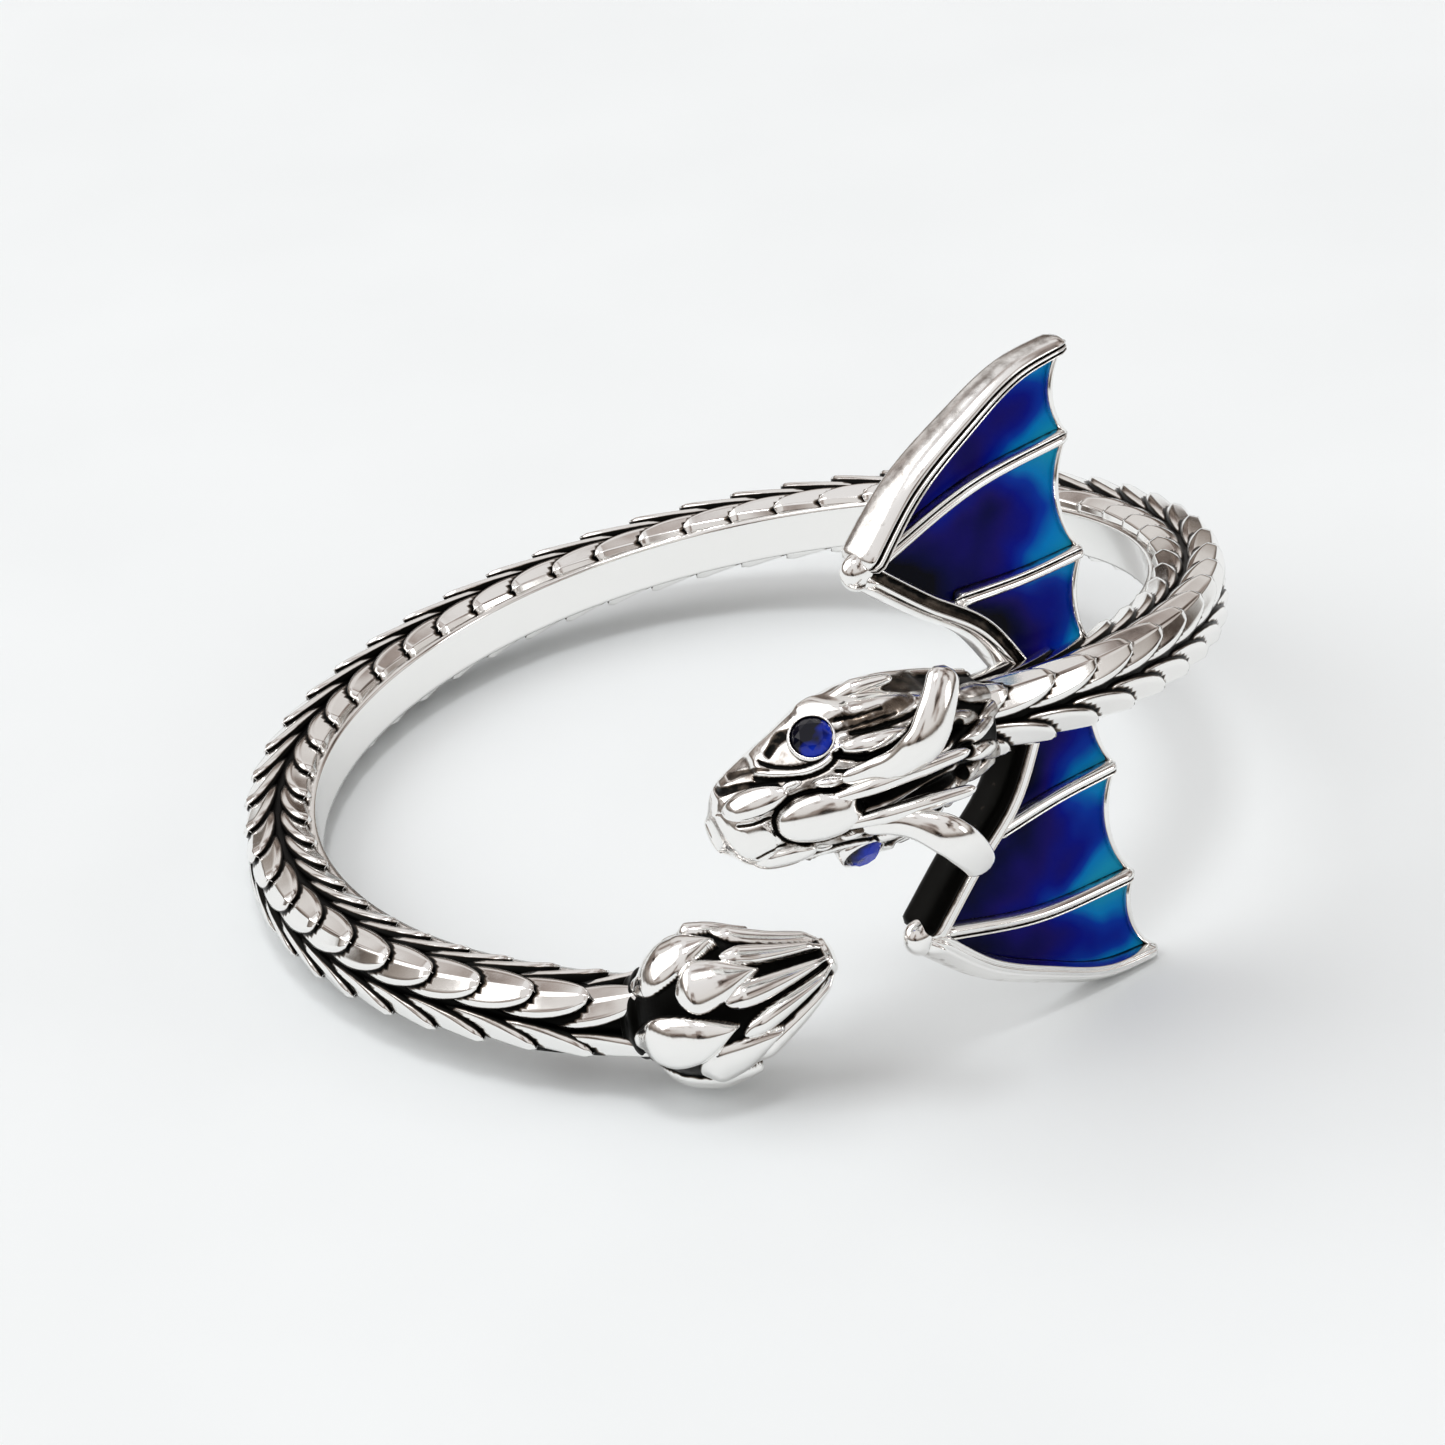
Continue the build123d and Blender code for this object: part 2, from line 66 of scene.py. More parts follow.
NOISE, MATH, RAMP = "ShaderNodeTexNoise", "ShaderNodeMath", "ShaderNodeValToRGB"
SCALE_AND_ADD = {"operation": "MULTIPLY_ADD"}
PRODUCT = {"operation": "MULTIPLY"}

Array = np.ndarray
Piece = bpy.types.Object
Material = bpy.types.Material
Tree = bpy.types.NodeTree
Socket = bpy.types.NodeSocket


class Slot(Enum):
    """The record's material slots."""

    SILVER = "silver"
    ENAMEL = "enamel"
    STONE = "stone"


class Hand(Enum):
    """Which side of the neck a wing, an eye or a horn is on."""

    UPPER = 1
    LOWER = -1

    def part(self, what: str) -> str:
        """The name of a part on this side."""
        return f"{self.name.lower()}_{what}"


Row = TypeVar("Row")


def rows_of(kind: type[Row], *rows: tuple) -> tuple[Row, ...]:
    """A table whose rows are all of one kind."""
    return tuple(kind(*row) for row in rows)


def smooth(x: Array, low: float, high: float) -> Array:
    """0 below low, 1 above high, and smooth between them."""
    t = np.clip((x - low) / (high - low), 0.0, 1.0)
    return t * t * (3 - 2 * t)


def through(xs: Sequence[float], ys: Sequence[float], x: Array) -> Array:
    """Reads a smooth curve through a row of points.

    Args:
        xs, ys: the points, with xs rising.
        x: where the curve is read.

    Returns:
        The curve's height at each x.
    """
    xs, ys = np.asarray(xs, float), np.asarray(ys, float)
    slopes = np.gradient(ys, xs)
    i = np.clip(np.searchsorted(xs, x) - 1, 0, len(xs) - 2)
    step = xs[i + 1] - xs[i]
    t = (x - xs[i]) / step
    start = (2 * t**3 - 3 * t**2 + 1) * ys[i] + (t**3 - 2 * t**2 + t) * step * slopes[i]
    end = (3 * t**2 - 2 * t**3) * ys[i + 1] + (t**3 - t**2) * step * slopes[i + 1]
    return start + end


def unit(v: Array) -> Array:
    """Vectors of length 1 the same way as v."""
    return v / np.linalg.norm(v, axis=-1, keepdims=True)


def curve_through(points: Array, count: int) -> Array:
    """Draws a smooth curve through a few points.

    Args:
        points: the few points.
        count: how many points the curve has.

    Returns:
        The curve's points, evenly spaced.
    """
    points = np.asarray(points, float)
    steps = np.linalg.norm(np.diff(points, axis=0), axis=1)
    lengths = np.concatenate([[0.0], np.cumsum(steps)])
    reads = np.linspace(0, lengths[-1], count)
    return np.stack([through(lengths, column, reads) for column in points.T], axis=-1)


def around(lengths: Array, columns: int) -> tuple[Array, Array]:
    """A grid of lengths along a skin and of degrees once round it."""
    return np.meshgrid(lengths, np.linspace(-180, 180, columns, endpoint=False), indexing="ij")


def put(name: str, data: bpy.types.ID) -> Piece:
    """Puts an object with this data in the scene, at the origin.

    Args:
        name: the object's name.
        data: its mesh, light or camera.

    Returns:
        The object.
    """
    thing = bpy.data.objects.new(name, data)
    bpy.context.scene.collection.objects.link(thing)
    return thing


def matrix_of(axes: Sequence[Array], place: Array) -> Matrix:
    """Makes the matrix that turns and moves an object.

    Args:
        axes: where X, Y and Z are turned to.
        place: where the origin is moved to.

    Returns:
        The matrix.
    """
    matrix = Matrix.Identity(4)
    for column, values in enumerate((*axes, place)):
        for row in range(3):
            matrix[row][column] = values[row]
    return matrix


# Placing and meshes


@dataclass(frozen=True)
class RingFrame:
    """Where the ring's own frame lies on the table.

    Args:
        centre: the middle of the finger hole, in metres.
        axis: the finger's axis.
    """

    centre: Array
    axis: Array

    @classmethod
    def from_record(cls, record: dict) -> "RingFrame":
        """Reads the finger's place from the record's mounts."""
        mount = next(m for m in record["mounts"] if m["name"] == "finger")
        return cls(np.array(mount["pos_m"]), unit(np.array(mount["axis"])))

    def turn(self) -> Array:
        """The ring's X, Y and Z on the table, one in each row."""
        right = unit(np.array([self.axis[2], 0.0, -self.axis[0]]))
        return np.stack([right, np.cross(self.axis, right), self.axis])

    def place(self, points: Array) -> Array:
        """Lays points of the ring's frame, in millimetres, on the table, in metres."""
        return self.centre + np.asarray(points) @ self.turn() * MM

    def aim(self, directions: Array) -> Array:
        """Turns directions of the ring's frame to the table's."""
        return np.asarray(directions) @ self.turn()


RING = RingFrame.from_record(frame["record"])


@dataclass
class Shell:
    """Points, faces and the depth of the dark oxide at each point, gathered into one mesh; on some pieces
    that depth is painted shade.
    """

    points: list[Array] = field(default_factory=list)
    faces: list[tuple[int, ...]] = field(default_factory=list)
    oxide: list[Array] = field(default_factory=list)
    uv: list[Array] = field(default_factory=list)
    count: int = 0

    def add(self, points: Array, faces: list, oxide: Array, uv: Array | None = None) -> None:
        """Adds a closed piece.

        Args:
            points: its points, in a row of any shape.
            faces: its faces, as rows of indices into those points.
            oxide: 0 where it is polished and 1 where it is black, one for each point; on some pieces the
                black is painted shade.
            uv: a place on the surface for each point, where its finish needs one.
        """
        flat = np.asarray(points).reshape(-1, 3)
        self.points.append(flat)
        self.faces += [tuple(int(i) + self.count for i in face) for face in faces]
        self.oxide.append(np.broadcast_to(np.asarray(oxide, float).reshape(-1), (len(flat),)))
        self.uv.append(np.zeros((len(flat), 2)) if uv is None else np.asarray(uv).reshape(-1, 2))
        self.count += len(flat)

    def build(self, name: str, finish: Material, place: Callable[[Array], Array] = RING.place) -> Piece:
        """Makes the object, smooth, with its faces turned outwards.

        Args:
            name: the piece's name.
            finish: its material.
            place: what lays its points in the scene.

        Returns:
            The object.
        """
        mesh = bpy.data.meshes.new(name)
        mesh.from_pydata(place(np.concatenate(self.points)).tolist(), [], self.faces)
        mesh.update()
        shape = bmesh.new()
        shape.from_mesh(mesh)
        bmesh.ops.recalc_face_normals(shape, faces=shape.faces)
        shape.to_mesh(mesh)
        shape.free()
        layer = mesh.attributes.new(OXIDE_AND_PAINTED_SHADE, "FLOAT", "POINT")
        layer.data.foreach_set("value", np.clip(np.concatenate(self.oxide), 0, 1).astype(np.float32))
        corners = np.zeros(len(mesh.loops), dtype=np.int32)
        mesh.loops.foreach_get("vertex_index", corners)
        chart = mesh.uv_layers.new(name=CHART)
        chart.data.foreach_set("uv", np.concatenate(self.uv)[corners].astype(np.float32).reshape(-1))
        mesh.shade_smooth()
        mesh.materials.append(finish)
        return put(name, mesh)


def grid_faces(rows: int, columns: int, wrap: bool) -> list[tuple[int, ...]]:
    """Lays four-sided faces over a grid of points.

    Args:
        rows, columns: the grid's size; its points are counted row by row.
        wrap: whether each row is closed to a ring.

    Returns:
        The faces, as rows of indices.
    """
    faces = []
    for row in range(rows - 1):
        for column in range(columns if wrap else columns - 1):
            right = (column + 1) % columns
            low, high = row * columns, (row + 1) * columns
            faces.append((low + column, low + right, high + right, high + column))
    return faces


def tube(grid: Array, oxide: Array, shell: Shell) -> None:
    """Adds a tube over rings of points, with an end face on the first ring and on the last.

    Args:
        grid: the rings of points, one in each row.
        oxide: the oxide at each point.
        shell: where the tube goes.
    """
    rows, columns = grid.shape[:2]
    faces = grid_faces(rows, columns, True)
    faces.append(tuple(range(columns)))
    faces.append(tuple(range((rows - 1) * columns, rows * columns)))
    shell.add(grid, faces, oxide)


def round_off(ring: Array, forward: Array, reach: float, count: int = 9) -> Array:
    """Rings that close a ring of points with a low dome.

    Args:
        ring: the points that the dome stands on.
        forward: the direction that it rises in.
        reach: how high it is.
        count: the number of its rings.

    Returns:
        The rings, from the one beside the points to the one near the dome's middle.
    """
    turn = np.linspace(0, 0.49 * math.pi, count + 1)[1:, None, None]
    middle = ring.mean(axis=0)
    return middle + (ring - middle) * np.cos(turn) + forward * reach * np.sin(turn)


def border_of(rows: int, columns: int) -> list[int]:
    """Goes round the border of a grid of points.

    Args:
        rows, columns: the grid's size; its points are counted row by row.

    Returns:
        The indices of the border's points.
    """
    border = list(range(columns)) + [row * columns + columns - 1 for row in range(1, rows)]
    border += [(rows - 1) * columns + column for column in range(columns - 2, -1, -1)]
    return border + [row * columns for row in range(rows - 2, 0, -1)]


def pad(top: Array, bottom: Array, top_oxide: Array, shell: Shell) -> None:
    """Adds a closed pad with a plain back, dark on its sides.

    Args:
        top: the grid of points on its face.
        bottom: a grid of the same shape, whose border is the back's.
        top_oxide: the oxide over its face; on a leaf it also holds painted shadow.
        shell: where the pad goes.
    """
    rows, columns = top.shape[:2]
    border = border_of(rows, columns)
    count = rows * columns
    faces = grid_faces(rows, columns, False)
    for i, (here, there) in enumerate(zip(border, border[1:] + border[:1])):
        faces.append((here, count + i, count + (i + 1) % len(border), there))
    faces.append(tuple(range(count, count + len(border))))
    points = np.concatenate([top.reshape(-1, 3), bottom.reshape(-1, 3)[border]])
    shell.add(points, faces, np.concatenate([top_oxide.reshape(-1), np.ones(len(border))]))


def slab(top: Array, bottom: Array, uv: Array, shell: Shell) -> None:
    """Adds a closed slab between two grids of points.

    Args:
        top, bottom: the grids, of one shape.
        uv: a place on the surface for each of their points.
        shell: where the slab goes.
    """
    rows, columns = top.shape[:2]
    half = rows * columns
    faces = grid_faces(rows, columns, False)
    faces += [tuple(half + i for i in face[::-1]) for face in faces]
    border = border_of(rows, columns)
    for here, there in zip(border, border[1:] + border[:1]):
        faces.append((here, half + here, half + there, there))
    points = np.concatenate([top.reshape(-1, 3), bottom.reshape(-1, 3)])
    oxide = np.concatenate([np.zeros(half), np.ones(half)])
    shell.add(points, faces, oxide, np.concatenate([uv.reshape(-1, 2)] * 2))


def loft(path: Array, up: Array, profile: Array, sizes: Array, shell: Shell) -> None:
    """Adds a bar with a profile carried along a path.

    Args:
        path: the points of its middle.
        up: the direction of the profile's height, one or one for each point.
        profile: columns across, up and oxide, once round the bar.
        sizes: the profile's size across and up at each point.
        shell: where the bar goes.
    """
    forward = unit(np.gradient(path, axis=0))
    across = unit(np.cross(forward, up))
    top = np.cross(across, forward)
    wide = profile[None, :, 0] * sizes[:, 0, None]
    high = profile[None, :, 1] * sizes[:, 1, None]
    grid = path[:, None, :] + across[:, None, :] * wide[..., None] + top[:, None, :] * high[..., None]
    tube(grid, np.broadcast_to(profile[:, 2], grid.shape[:2]), shell)


def round_profile(columns: int) -> Array:
    """A round profile of radius 1, polished all over."""
    turn = np.linspace(0, 2 * math.pi, columns, endpoint=False)
    return np.stack([np.cos(turn), np.sin(turn), np.zeros(columns)], axis=-1)


def round_ends(sizes: Array, reach: float) -> Array:
    """Shrinks a bar's sizes towards both of its ends, as round ends do.

    Args:
        sizes: the sizes across and up at each point of its path.
        reach: about how many points each round end takes.

    Returns:
        The sizes with round ends.
    """
    place = np.linspace(0, 1, len(sizes))
    cap = min(reach * 2 / len(sizes), 0.5)
    near = np.clip(np.minimum(place, 1 - place) / cap, 0, 1)
    return sizes * np.sqrt(np.clip(1 - (1 - near) ** 2, LEAST, 1))[:, None]


# Finishes


def linear(hex_colour: str) -> tuple[float, float, float, float]:
    """Turns an sRGB hex colour to the linear values that a shader takes."""
    parts = [int(hex_colour[i : i + 2], 16) / 255 for i in (1, 3, 5)]
    return tuple(p / 12.92 if p <= 0.04045 else ((p + 0.055) / 1.055) ** 2.4 for p in parts) + (1.0,)


def set_stops(elements: bpy.types.ColorRampElements, stops: Sequence[tuple[float, str]]) -> None:
    """Gives a colour ramp its stops.

    Args:
        elements: the stops that it has.
        stops: the place and the hex colour of each that it gets.
    """
    while len(elements) < len(stops):
        elements.new(0.5)
    for element, (place, colour) in zip(elements, stops):
        element.position = place
        element.color = linear(colour)


def add_node(tree: Tree, kind: str, settings: dict | None = None, **inputs) -> bpy.types.Node:
    """Adds a node with its settings, values and links.

    Args:
        tree: where the node goes.
        kind: the node's type.
        settings: its own properties by name, and a colour ramp's stops.
        inputs: a value, another node's output or a node, for its first output, for each input. An input goes
            by its name with _ for a space, or by i and its number.

    Returns:
        The node.
    """
    node = tree.nodes.new(kind)
    for name, value in (settings or {}).items():
        if name == "stops":
            set_stops(node.color_ramp.elements, value)
        else:
            setattr(node, name, value)
    for name, value in inputs.items():
        key = int(name[1:]) if name[0] == "i" and name[1:].isdigit() else name.replace("_", " ")
        if isinstance(value, bpy.types.Node):
            value = value.outputs[0]
        if isinstance(value, Socket):
            tree.links.new(value, node.inputs[key])
        else:
            node.inputs[key].default_value = value
    return node


def new_material(name: str) -> tuple[Material, Tree, Socket]:
    """Makes a material with an empty tree.

    Args:
        name: its name.

    Returns:
        The material, its tree, and the output that gives a place on the object.
    """
    material = bpy.data.materials.new(name)
    material.use_nodes = True
    tree = material.node_tree
    tree.nodes.clear()
    return material, tree, add_node(tree, "ShaderNodeTexCoord").outputs["Object"]


def scale_of(size_mm: float) -> float:
    """The Scale of a noise whose grains are about this size in millimetres."""
    return 1 / (size_mm * MM)


@dataclass(frozen=True)
class CastSterlingSilver:
    """Cast sterling silver, blackened in a sulphur bath and then polished.

    The high places are bright as a mirror, with the soft waves that a casting keeps. The oxide stays black in
    every groove, with a brown edge where the polishing wheel only reached part of it.
    """

    polished: str = "#F6F5F3"
    brown_edge: str = "#6A5F55"
    oxide: str = "#0C0C0B"
    wave_mm: float = 0.9
    wave_height: float = 0.03
    scratch_mm: float = 0.06
    grain_mm: float = 0.25
    grain_depth: float = 0.5
    roughness: tuple[float, float] = (0.08, 0.16)
    oxide_dulls: float = 0.3

    def build(self) -> Material:
        """Makes the material.

        Returns:
            The material.
        """
        material, tree, place = new_material("cast sterling silver")
        # The attribute gives the depth of the oxide, and of painted shade where some is painted.
        depth = add_node(tree, "ShaderNodeAttribute", {"attribute_name": OXIDE_AND_PAINTED_SHADE}).outputs["Fac"]
        grain = add_node(tree, NOISE, Vector=place, Scale=scale_of(self.grain_mm), Detail=4.0)
        worn = add_node(tree, MATH, SCALE_AND_ADD, i0=grain, i1=self.grain_depth, i2=-self.grain_depth / 2)
        edge = add_node(tree, MATH, {"operation": "ADD", "use_clamp": True}, i0=depth, i1=worn)
        stops = ((0.22, self.polished), (0.45, self.brown_edge), (0.7, self.oxide))
        scratch = add_node(tree, NOISE, Vector=place, Scale=scale_of(self.scratch_mm), Detail=2.0)
        low, high = self.roughness
        rough = add_node(tree, "ShaderNodeMapRange", Value=scratch, To_Min=low, To_Max=high)
        wave = add_node(tree, NOISE, Vector=place, Scale=scale_of(self.wave_mm), Detail=1.0)
        bump = add_node(tree, "ShaderNodeBump", Height=wave, Strength=0.25, Distance=self.wave_height * MM)
        shader = add_node(
            tree,
            "ShaderNodeBsdfPrincipled",
            Base_Color=add_node(tree, RAMP, {"stops": stops}, Fac=edge),
            Metallic=1.0,
            Roughness=add_node(tree, MATH, SCALE_AND_ADD, i0=edge, i1=self.oxide_dulls, i2=rough),
            Normal=bump,
        )
        add_node(tree, "ShaderNodeOutputMaterial", Surface=shader)
        return material


@dataclass(frozen=True)
class VitreousEnamel:
    """Glossy vitreous enamel, fired in cells over silver.

    The colour runs from near black at the wing's elbow, through violet and deep blue, to clouds of azure and
    teal along the trailing edge and beside the ribs. Its surface is as smooth as glass, with slow waves.
    """

    shadow: str = "#01020F"
    navy: str = "#01053C"
    violet: str = "#130B66"
    deep_blue: str = "#000F86"
    mid_blue: str = "#0034A4"
    azure: str = "#007CC4"
    teal: str = "#1494BE"
    cloud_mm: float = 1.5
    cloud_depth: float = 0.8
    rib_pales: float = 0.66
    edge_power: float = 1.35
    edge_pales: float = 1.38
    depth: float = -0.38

    def build(self) -> Material:
        """Makes the material, whose chart runs along a cell in X and from rib to rib in Y.

        Returns:
            The material.
        """
        material, tree, place = new_material("vitreous enamel")
        chart = add_node(tree, "ShaderNodeUVMap", {"uv_map": CHART})
        share = add_node(tree, "ShaderNodeSeparateXYZ", Vector=chart)
        cloud = add_node(tree, NOISE, Vector=place, Scale=scale_of(self.cloud_mm), Detail=1.5)
        across = add_node(tree, MATH, SCALE_AND_ADD, i0=share.outputs["Y"], i1=2.0, i2=-1.0)
        beside = add_node(tree, MATH, PRODUCT, i0=across, i1=across)
        near_rib = add_node(tree, MATH, SCALE_AND_ADD, i0=beside, i1=self.rib_pales, i2=1 - self.rib_pales)
        reach = add_node(tree, MATH, {"operation": "POWER"}, i0=share.outputs["X"], i1=self.edge_power)
        trailing = add_node(tree, MATH, PRODUCT, i0=near_rib, i1=reach)
        pale = add_node(tree, MATH, SCALE_AND_ADD, i0=trailing, i1=self.edge_pales, i2=self.depth)
        run = add_node(tree, MATH, SCALE_AND_ADD, i0=cloud, i1=self.cloud_depth, i2=pale)
        stops = (
            (0.0, self.shadow), (0.10, self.navy), (0.26, self.violet), (0.40, self.deep_blue),
            (0.54, self.mid_blue), (0.70, self.azure), (1.0, self.teal),
        )
        colour = add_node(tree, RAMP, {"stops": stops}, Fac=run)
        gloss = {"Roughness": 0.2, "IOR": 1.5, "Specular_IOR_Level": 0.05}
        shader = add_node(tree, "ShaderNodeBsdfPrincipled", Base_Color=colour, **gloss)
        add_node(tree, "ShaderNodeOutputMaterial", Surface=shader)
        return material


@dataclass(frozen=True)
class BlueStone:
    """A small cut stone of dark blue spinel: clear, hard-edged and bright on its facets."""

    body: str = "#082EB8"
    depth: str = "#010414"
    ior: float = 1.72
    zone_mm: float = 0.3

    def build(self) -> Material:
        """Makes the material, which darkens by the painted reflection of the dark room that each facet
        carries in the oxide attribute.

        Returns:
            The material.
        """
        material, tree, place = new_material("blue spinel")
        zone = add_node(tree, NOISE, Vector=place, Scale=scale_of(self.zone_mm), Detail=1.0)
        # Here the oxide attribute holds each facet's painted reflection, not oxide.
        shade = add_node(tree, "ShaderNodeAttribute", {"attribute_name": OXIDE_AND_PAINTED_SHADE}).outputs["Fac"]
        deep = add_node(tree, MATH, SCALE_AND_ADD, i0=zone, i1=0.7, i2=shade)
        colour = add_node(tree, RAMP, {"stops": ((0.60, self.body), (0.86, self.depth))}, Fac=deep)
        gloss = {"Roughness": 0.02, "IOR": self.ior, "Specular_IOR_Level": 0.2}
        shader = add_node(tree, "ShaderNodeBsdfPrincipled", Base_Color=colour, **gloss)
        add_node(tree, "ShaderNodeOutputMaterial", Surface=shader)
        return material


@dataclass(frozen=True)
class PalePaper:
    """A plain sheet of matt white paper under the ring."""

    tone: str = "#F1F6F8"
    shade: str = "#EEF3F5"
    cloud_mm: float = 8.0

    def build(self) -> Material:
        """Makes the material.

        Returns:
            The material.
        """
        material, tree, place = new_material("matt white paper")
        fibre = add_node(tree, NOISE, Vector=place, Scale=scale_of(self.cloud_mm), Detail=2.0)
        colour = add_node(tree, RAMP, {"stops": ((0.3, self.shade), (0.7, self.tone))}, Fac=fibre)
        shader = add_node(tree, "ShaderNodeBsdfPrincipled", Base_Color=colour, Roughness=0.9)
        add_node(tree, "ShaderNodeOutputMaterial", Surface=shader)
        return material


# The ring's spine and its sections


class SpineRow(NamedTuple):
    """A place on the spine: degrees round the finger, and shares of the band's radius and of the rise."""

    angle: float
    radius: float
    rise: float


class BodyRow(NamedTuple):
    """A section of the bud or the head, as shares of its length, half width, height and depth."""

    along: float
    side: float
    outer: float
    inner: float


@dataclass
class Spine:
    """The line down the middle of the band, from the bud's tip round to the snout, with its sections."""

    finger_diameter: float = 17.5
    band_wire: float = 1.88
    inner_flat: float = 1.0
    bypass_rise: float = 4.15
    bud_length: float = 3.75
    bud_width: float = 3.26
    bud_height: float = 1.62
    head_length: float = 5.5
    head_width: float = 3.5
    head_height: float = 1.75
    jaw_depth: float = 0.95
    blending: float = 0.16
    steps: int = 3000
    rows: tuple[SpineRow, ...] = rows_of(
        SpineRow,
        (276.4, 1.0, -0.288), (270.0, 1.0, -0.358), (262.0, 1.0, -0.42), (254.0, 1.0, -0.45),
        (240.0, 1.0, -0.41), (180.0, 1.0, -0.236), (120.0, 1.0, -0.063), (60.0, 1.0, 0.111),
        (30.0, 1.007, 0.212), (0.0, 1.024, 0.347), (-30.0, 1.052, 0.516), (-50.0, 1.08, 0.656),
        (-64.0, 1.097, 0.752), (-70.5, 1.105, 0.774), (-77.5, 1.11, 0.749), (-85.2, 1.119, 0.675),
        (-93.5, 1.136, 0.554),
    )
    bud_rows: tuple[BodyRow, ...] = rows_of(
        BodyRow,
        (0.0, 0.16, 0.24, 0.4), (0.03, 0.27, 0.38, 0.68), (0.14, 0.42, 0.52, 0.88),
        (0.32, 0.66, 0.72, 0.95), (0.52, 0.92, 0.92, 1.0), (0.68, 1.0, 1.0, 1.0),
        (0.84, 0.9, 0.9, 1.0), (0.95, 0.7, 0.72, 1.0),
    )
    head_rows: tuple[BodyRow, ...] = rows_of(
        BodyRow,
        (0.06, 0.6, 0.62, 0.9), (0.16, 0.7, 0.78, 0.95), (0.3, 0.84, 0.98, 0.95),
        (0.44, 0.9, 1.04, 0.92), (0.58, 0.85, 0.99, 0.86), (0.7, 0.7, 0.86, 0.8),
        (0.82, 0.6, 0.72, 0.74), (0.92, 0.5, 0.6, 0.62), (0.97, 0.34, 0.42, 0.44),
        (1.0, 0.14, 0.18, 0.18),
    )

    def __post_init__(self) -> None:
        """Works out the sizes that follow from the fields, and reads the spine at small steps."""
        self.wire_radius = self.band_wire / 2
        self.flat_drop = math.sqrt(self.wire_radius**2 - (self.inner_flat / 2) ** 2)
        self.centre_radius = self.finger_diameter / 2 + self.flat_drop
        self.points = self.at_turn(np.linspace(0, self.rows[0].angle - self.rows[-1].angle, self.steps))
        steps = np.linalg.norm(np.diff(self.points, axis=0), axis=1)
        self.lengths = np.concatenate([[0.0], np.cumsum(steps)])
        self.length = float(self.lengths[-1])
        self.head_start = self.length - self.head_length
        self.forwards = unit(np.gradient(self.points, axis=0))
        outward = self.points * np.array([1.0, 1.0, 0.0])
        outward -= np.sum(outward * self.forwards, axis=-1, keepdims=True) * self.forwards
        self.outwards = unit(outward)
        self.sections = self.section_rows()

    def at_turn(self, turn: Array) -> Array:
        """Places points on the spine.

        Args:
            turn: how far they are from the bud's tip, in degrees round the finger.

        Returns:
            The points.
        """
        turns = [self.rows[0].angle - row.angle for row in self.rows]
        angle = np.radians(self.rows[0].angle - turn)
        radius = self.centre_radius * through(turns, [row.radius for row in self.rows], turn)
        rise = self.bypass_rise * through(turns, [row.rise for row in self.rows], turn)
        return np.stack([radius * np.cos(angle), radius * np.sin(angle), rise], axis=-1)

    def section_rows(self) -> Array:
        """Gathers the sections of the bud, the band and the head.

        Returns:
            Length, half width, outer reach and inner reach, one column for each section.
        """
        wire = self.wire_radius
        bud_sizes = (self.bud_length, self.bud_width / 2, self.bud_height, wire)
        head_sizes = (self.head_length, self.head_width / 2, self.head_height, self.jaw_depth)
        bud, head = np.array(self.bud_rows) * bud_sizes, np.array(self.head_rows) * head_sizes
        head[:, 0] += self.head_start
        band = [(s, wire, wire, wire) for s in (self.bud_length, self.head_start)]
        return np.vstack([bud, band, head]).T

    def blend(self, values: Array, s: Array) -> Array:
        """Reads values that are held at the spine's small steps, at the lengths s."""
        return np.stack([np.interp(s, self.lengths, column) for column in values.T], axis=-1)

    def read(self, s: Array) -> tuple[Array, Array, Array, Array]:
        """Reads the spine's places and directions.

        Args:
            s: the lengths along the spine where they are read.

        Returns:
            The points, and the directions forwards, outwards and sideways.
        """
        forward = unit(self.blend(self.forwards, s))
        outward = unit(self.blend(self.outwards, s))
        return self.blend(self.points, s), forward, outward, np.cross(forward, outward)

    def section(self, s: Array) -> tuple[Array, ...]:
        """Reads the sections of the skin.

        Args:
            s: the lengths along the spine where they are read.

        Returns:
            Half the width, and how far the skin reaches outwards and inwards.
        """
        lengths, *reaches = self.sections
        near = [s + shift for shift in np.linspace(-self.blending, self.blending, 5)]
        spread = ([np.interp(place, lengths, reach) for place in near] for reach in reaches)
        return tuple(np.mean(reads, axis=0) for reads in spread)

    def skin(self, s: Array, angle: Array, lift: Array) -> Array:
        """Points of the skin.

        Args:
            s: their lengths along the spine.
            angle: how far round the skin they are, in degrees from its outermost line.
            lift: how far they are raised from it.

        Returns:
            The points, none of them past the flat inside.
        """
        point, _, outward, side = self.read(s)
        half, outer, inner = self.section(s)
        turn = np.radians(angle)
        x = np.where(np.cos(turn) > 0, outer, inner) * np.cos(turn)
        y = half * np.sin(turn)
        reach = np.maximum(np.hypot(x, y), 1e-6)
        x = np.maximum(x + lift * x / reach, -self.flat_drop)
        y = y + lift * y / reach
        return point + x[..., None] * outward + y[..., None] * side

    def head_point(self, along: float, side: float, outer: float) -> Array:
        """A point given along the head, sideways and outwards, in shares of its sizes."""
        point, _, outward, sideways = self.read(np.array(self.head_start + along * self.head_length))
        return point + sideways * side * self.head_width / 2 + outward * outer * self.head_height


SPINE = Spine()


# The band


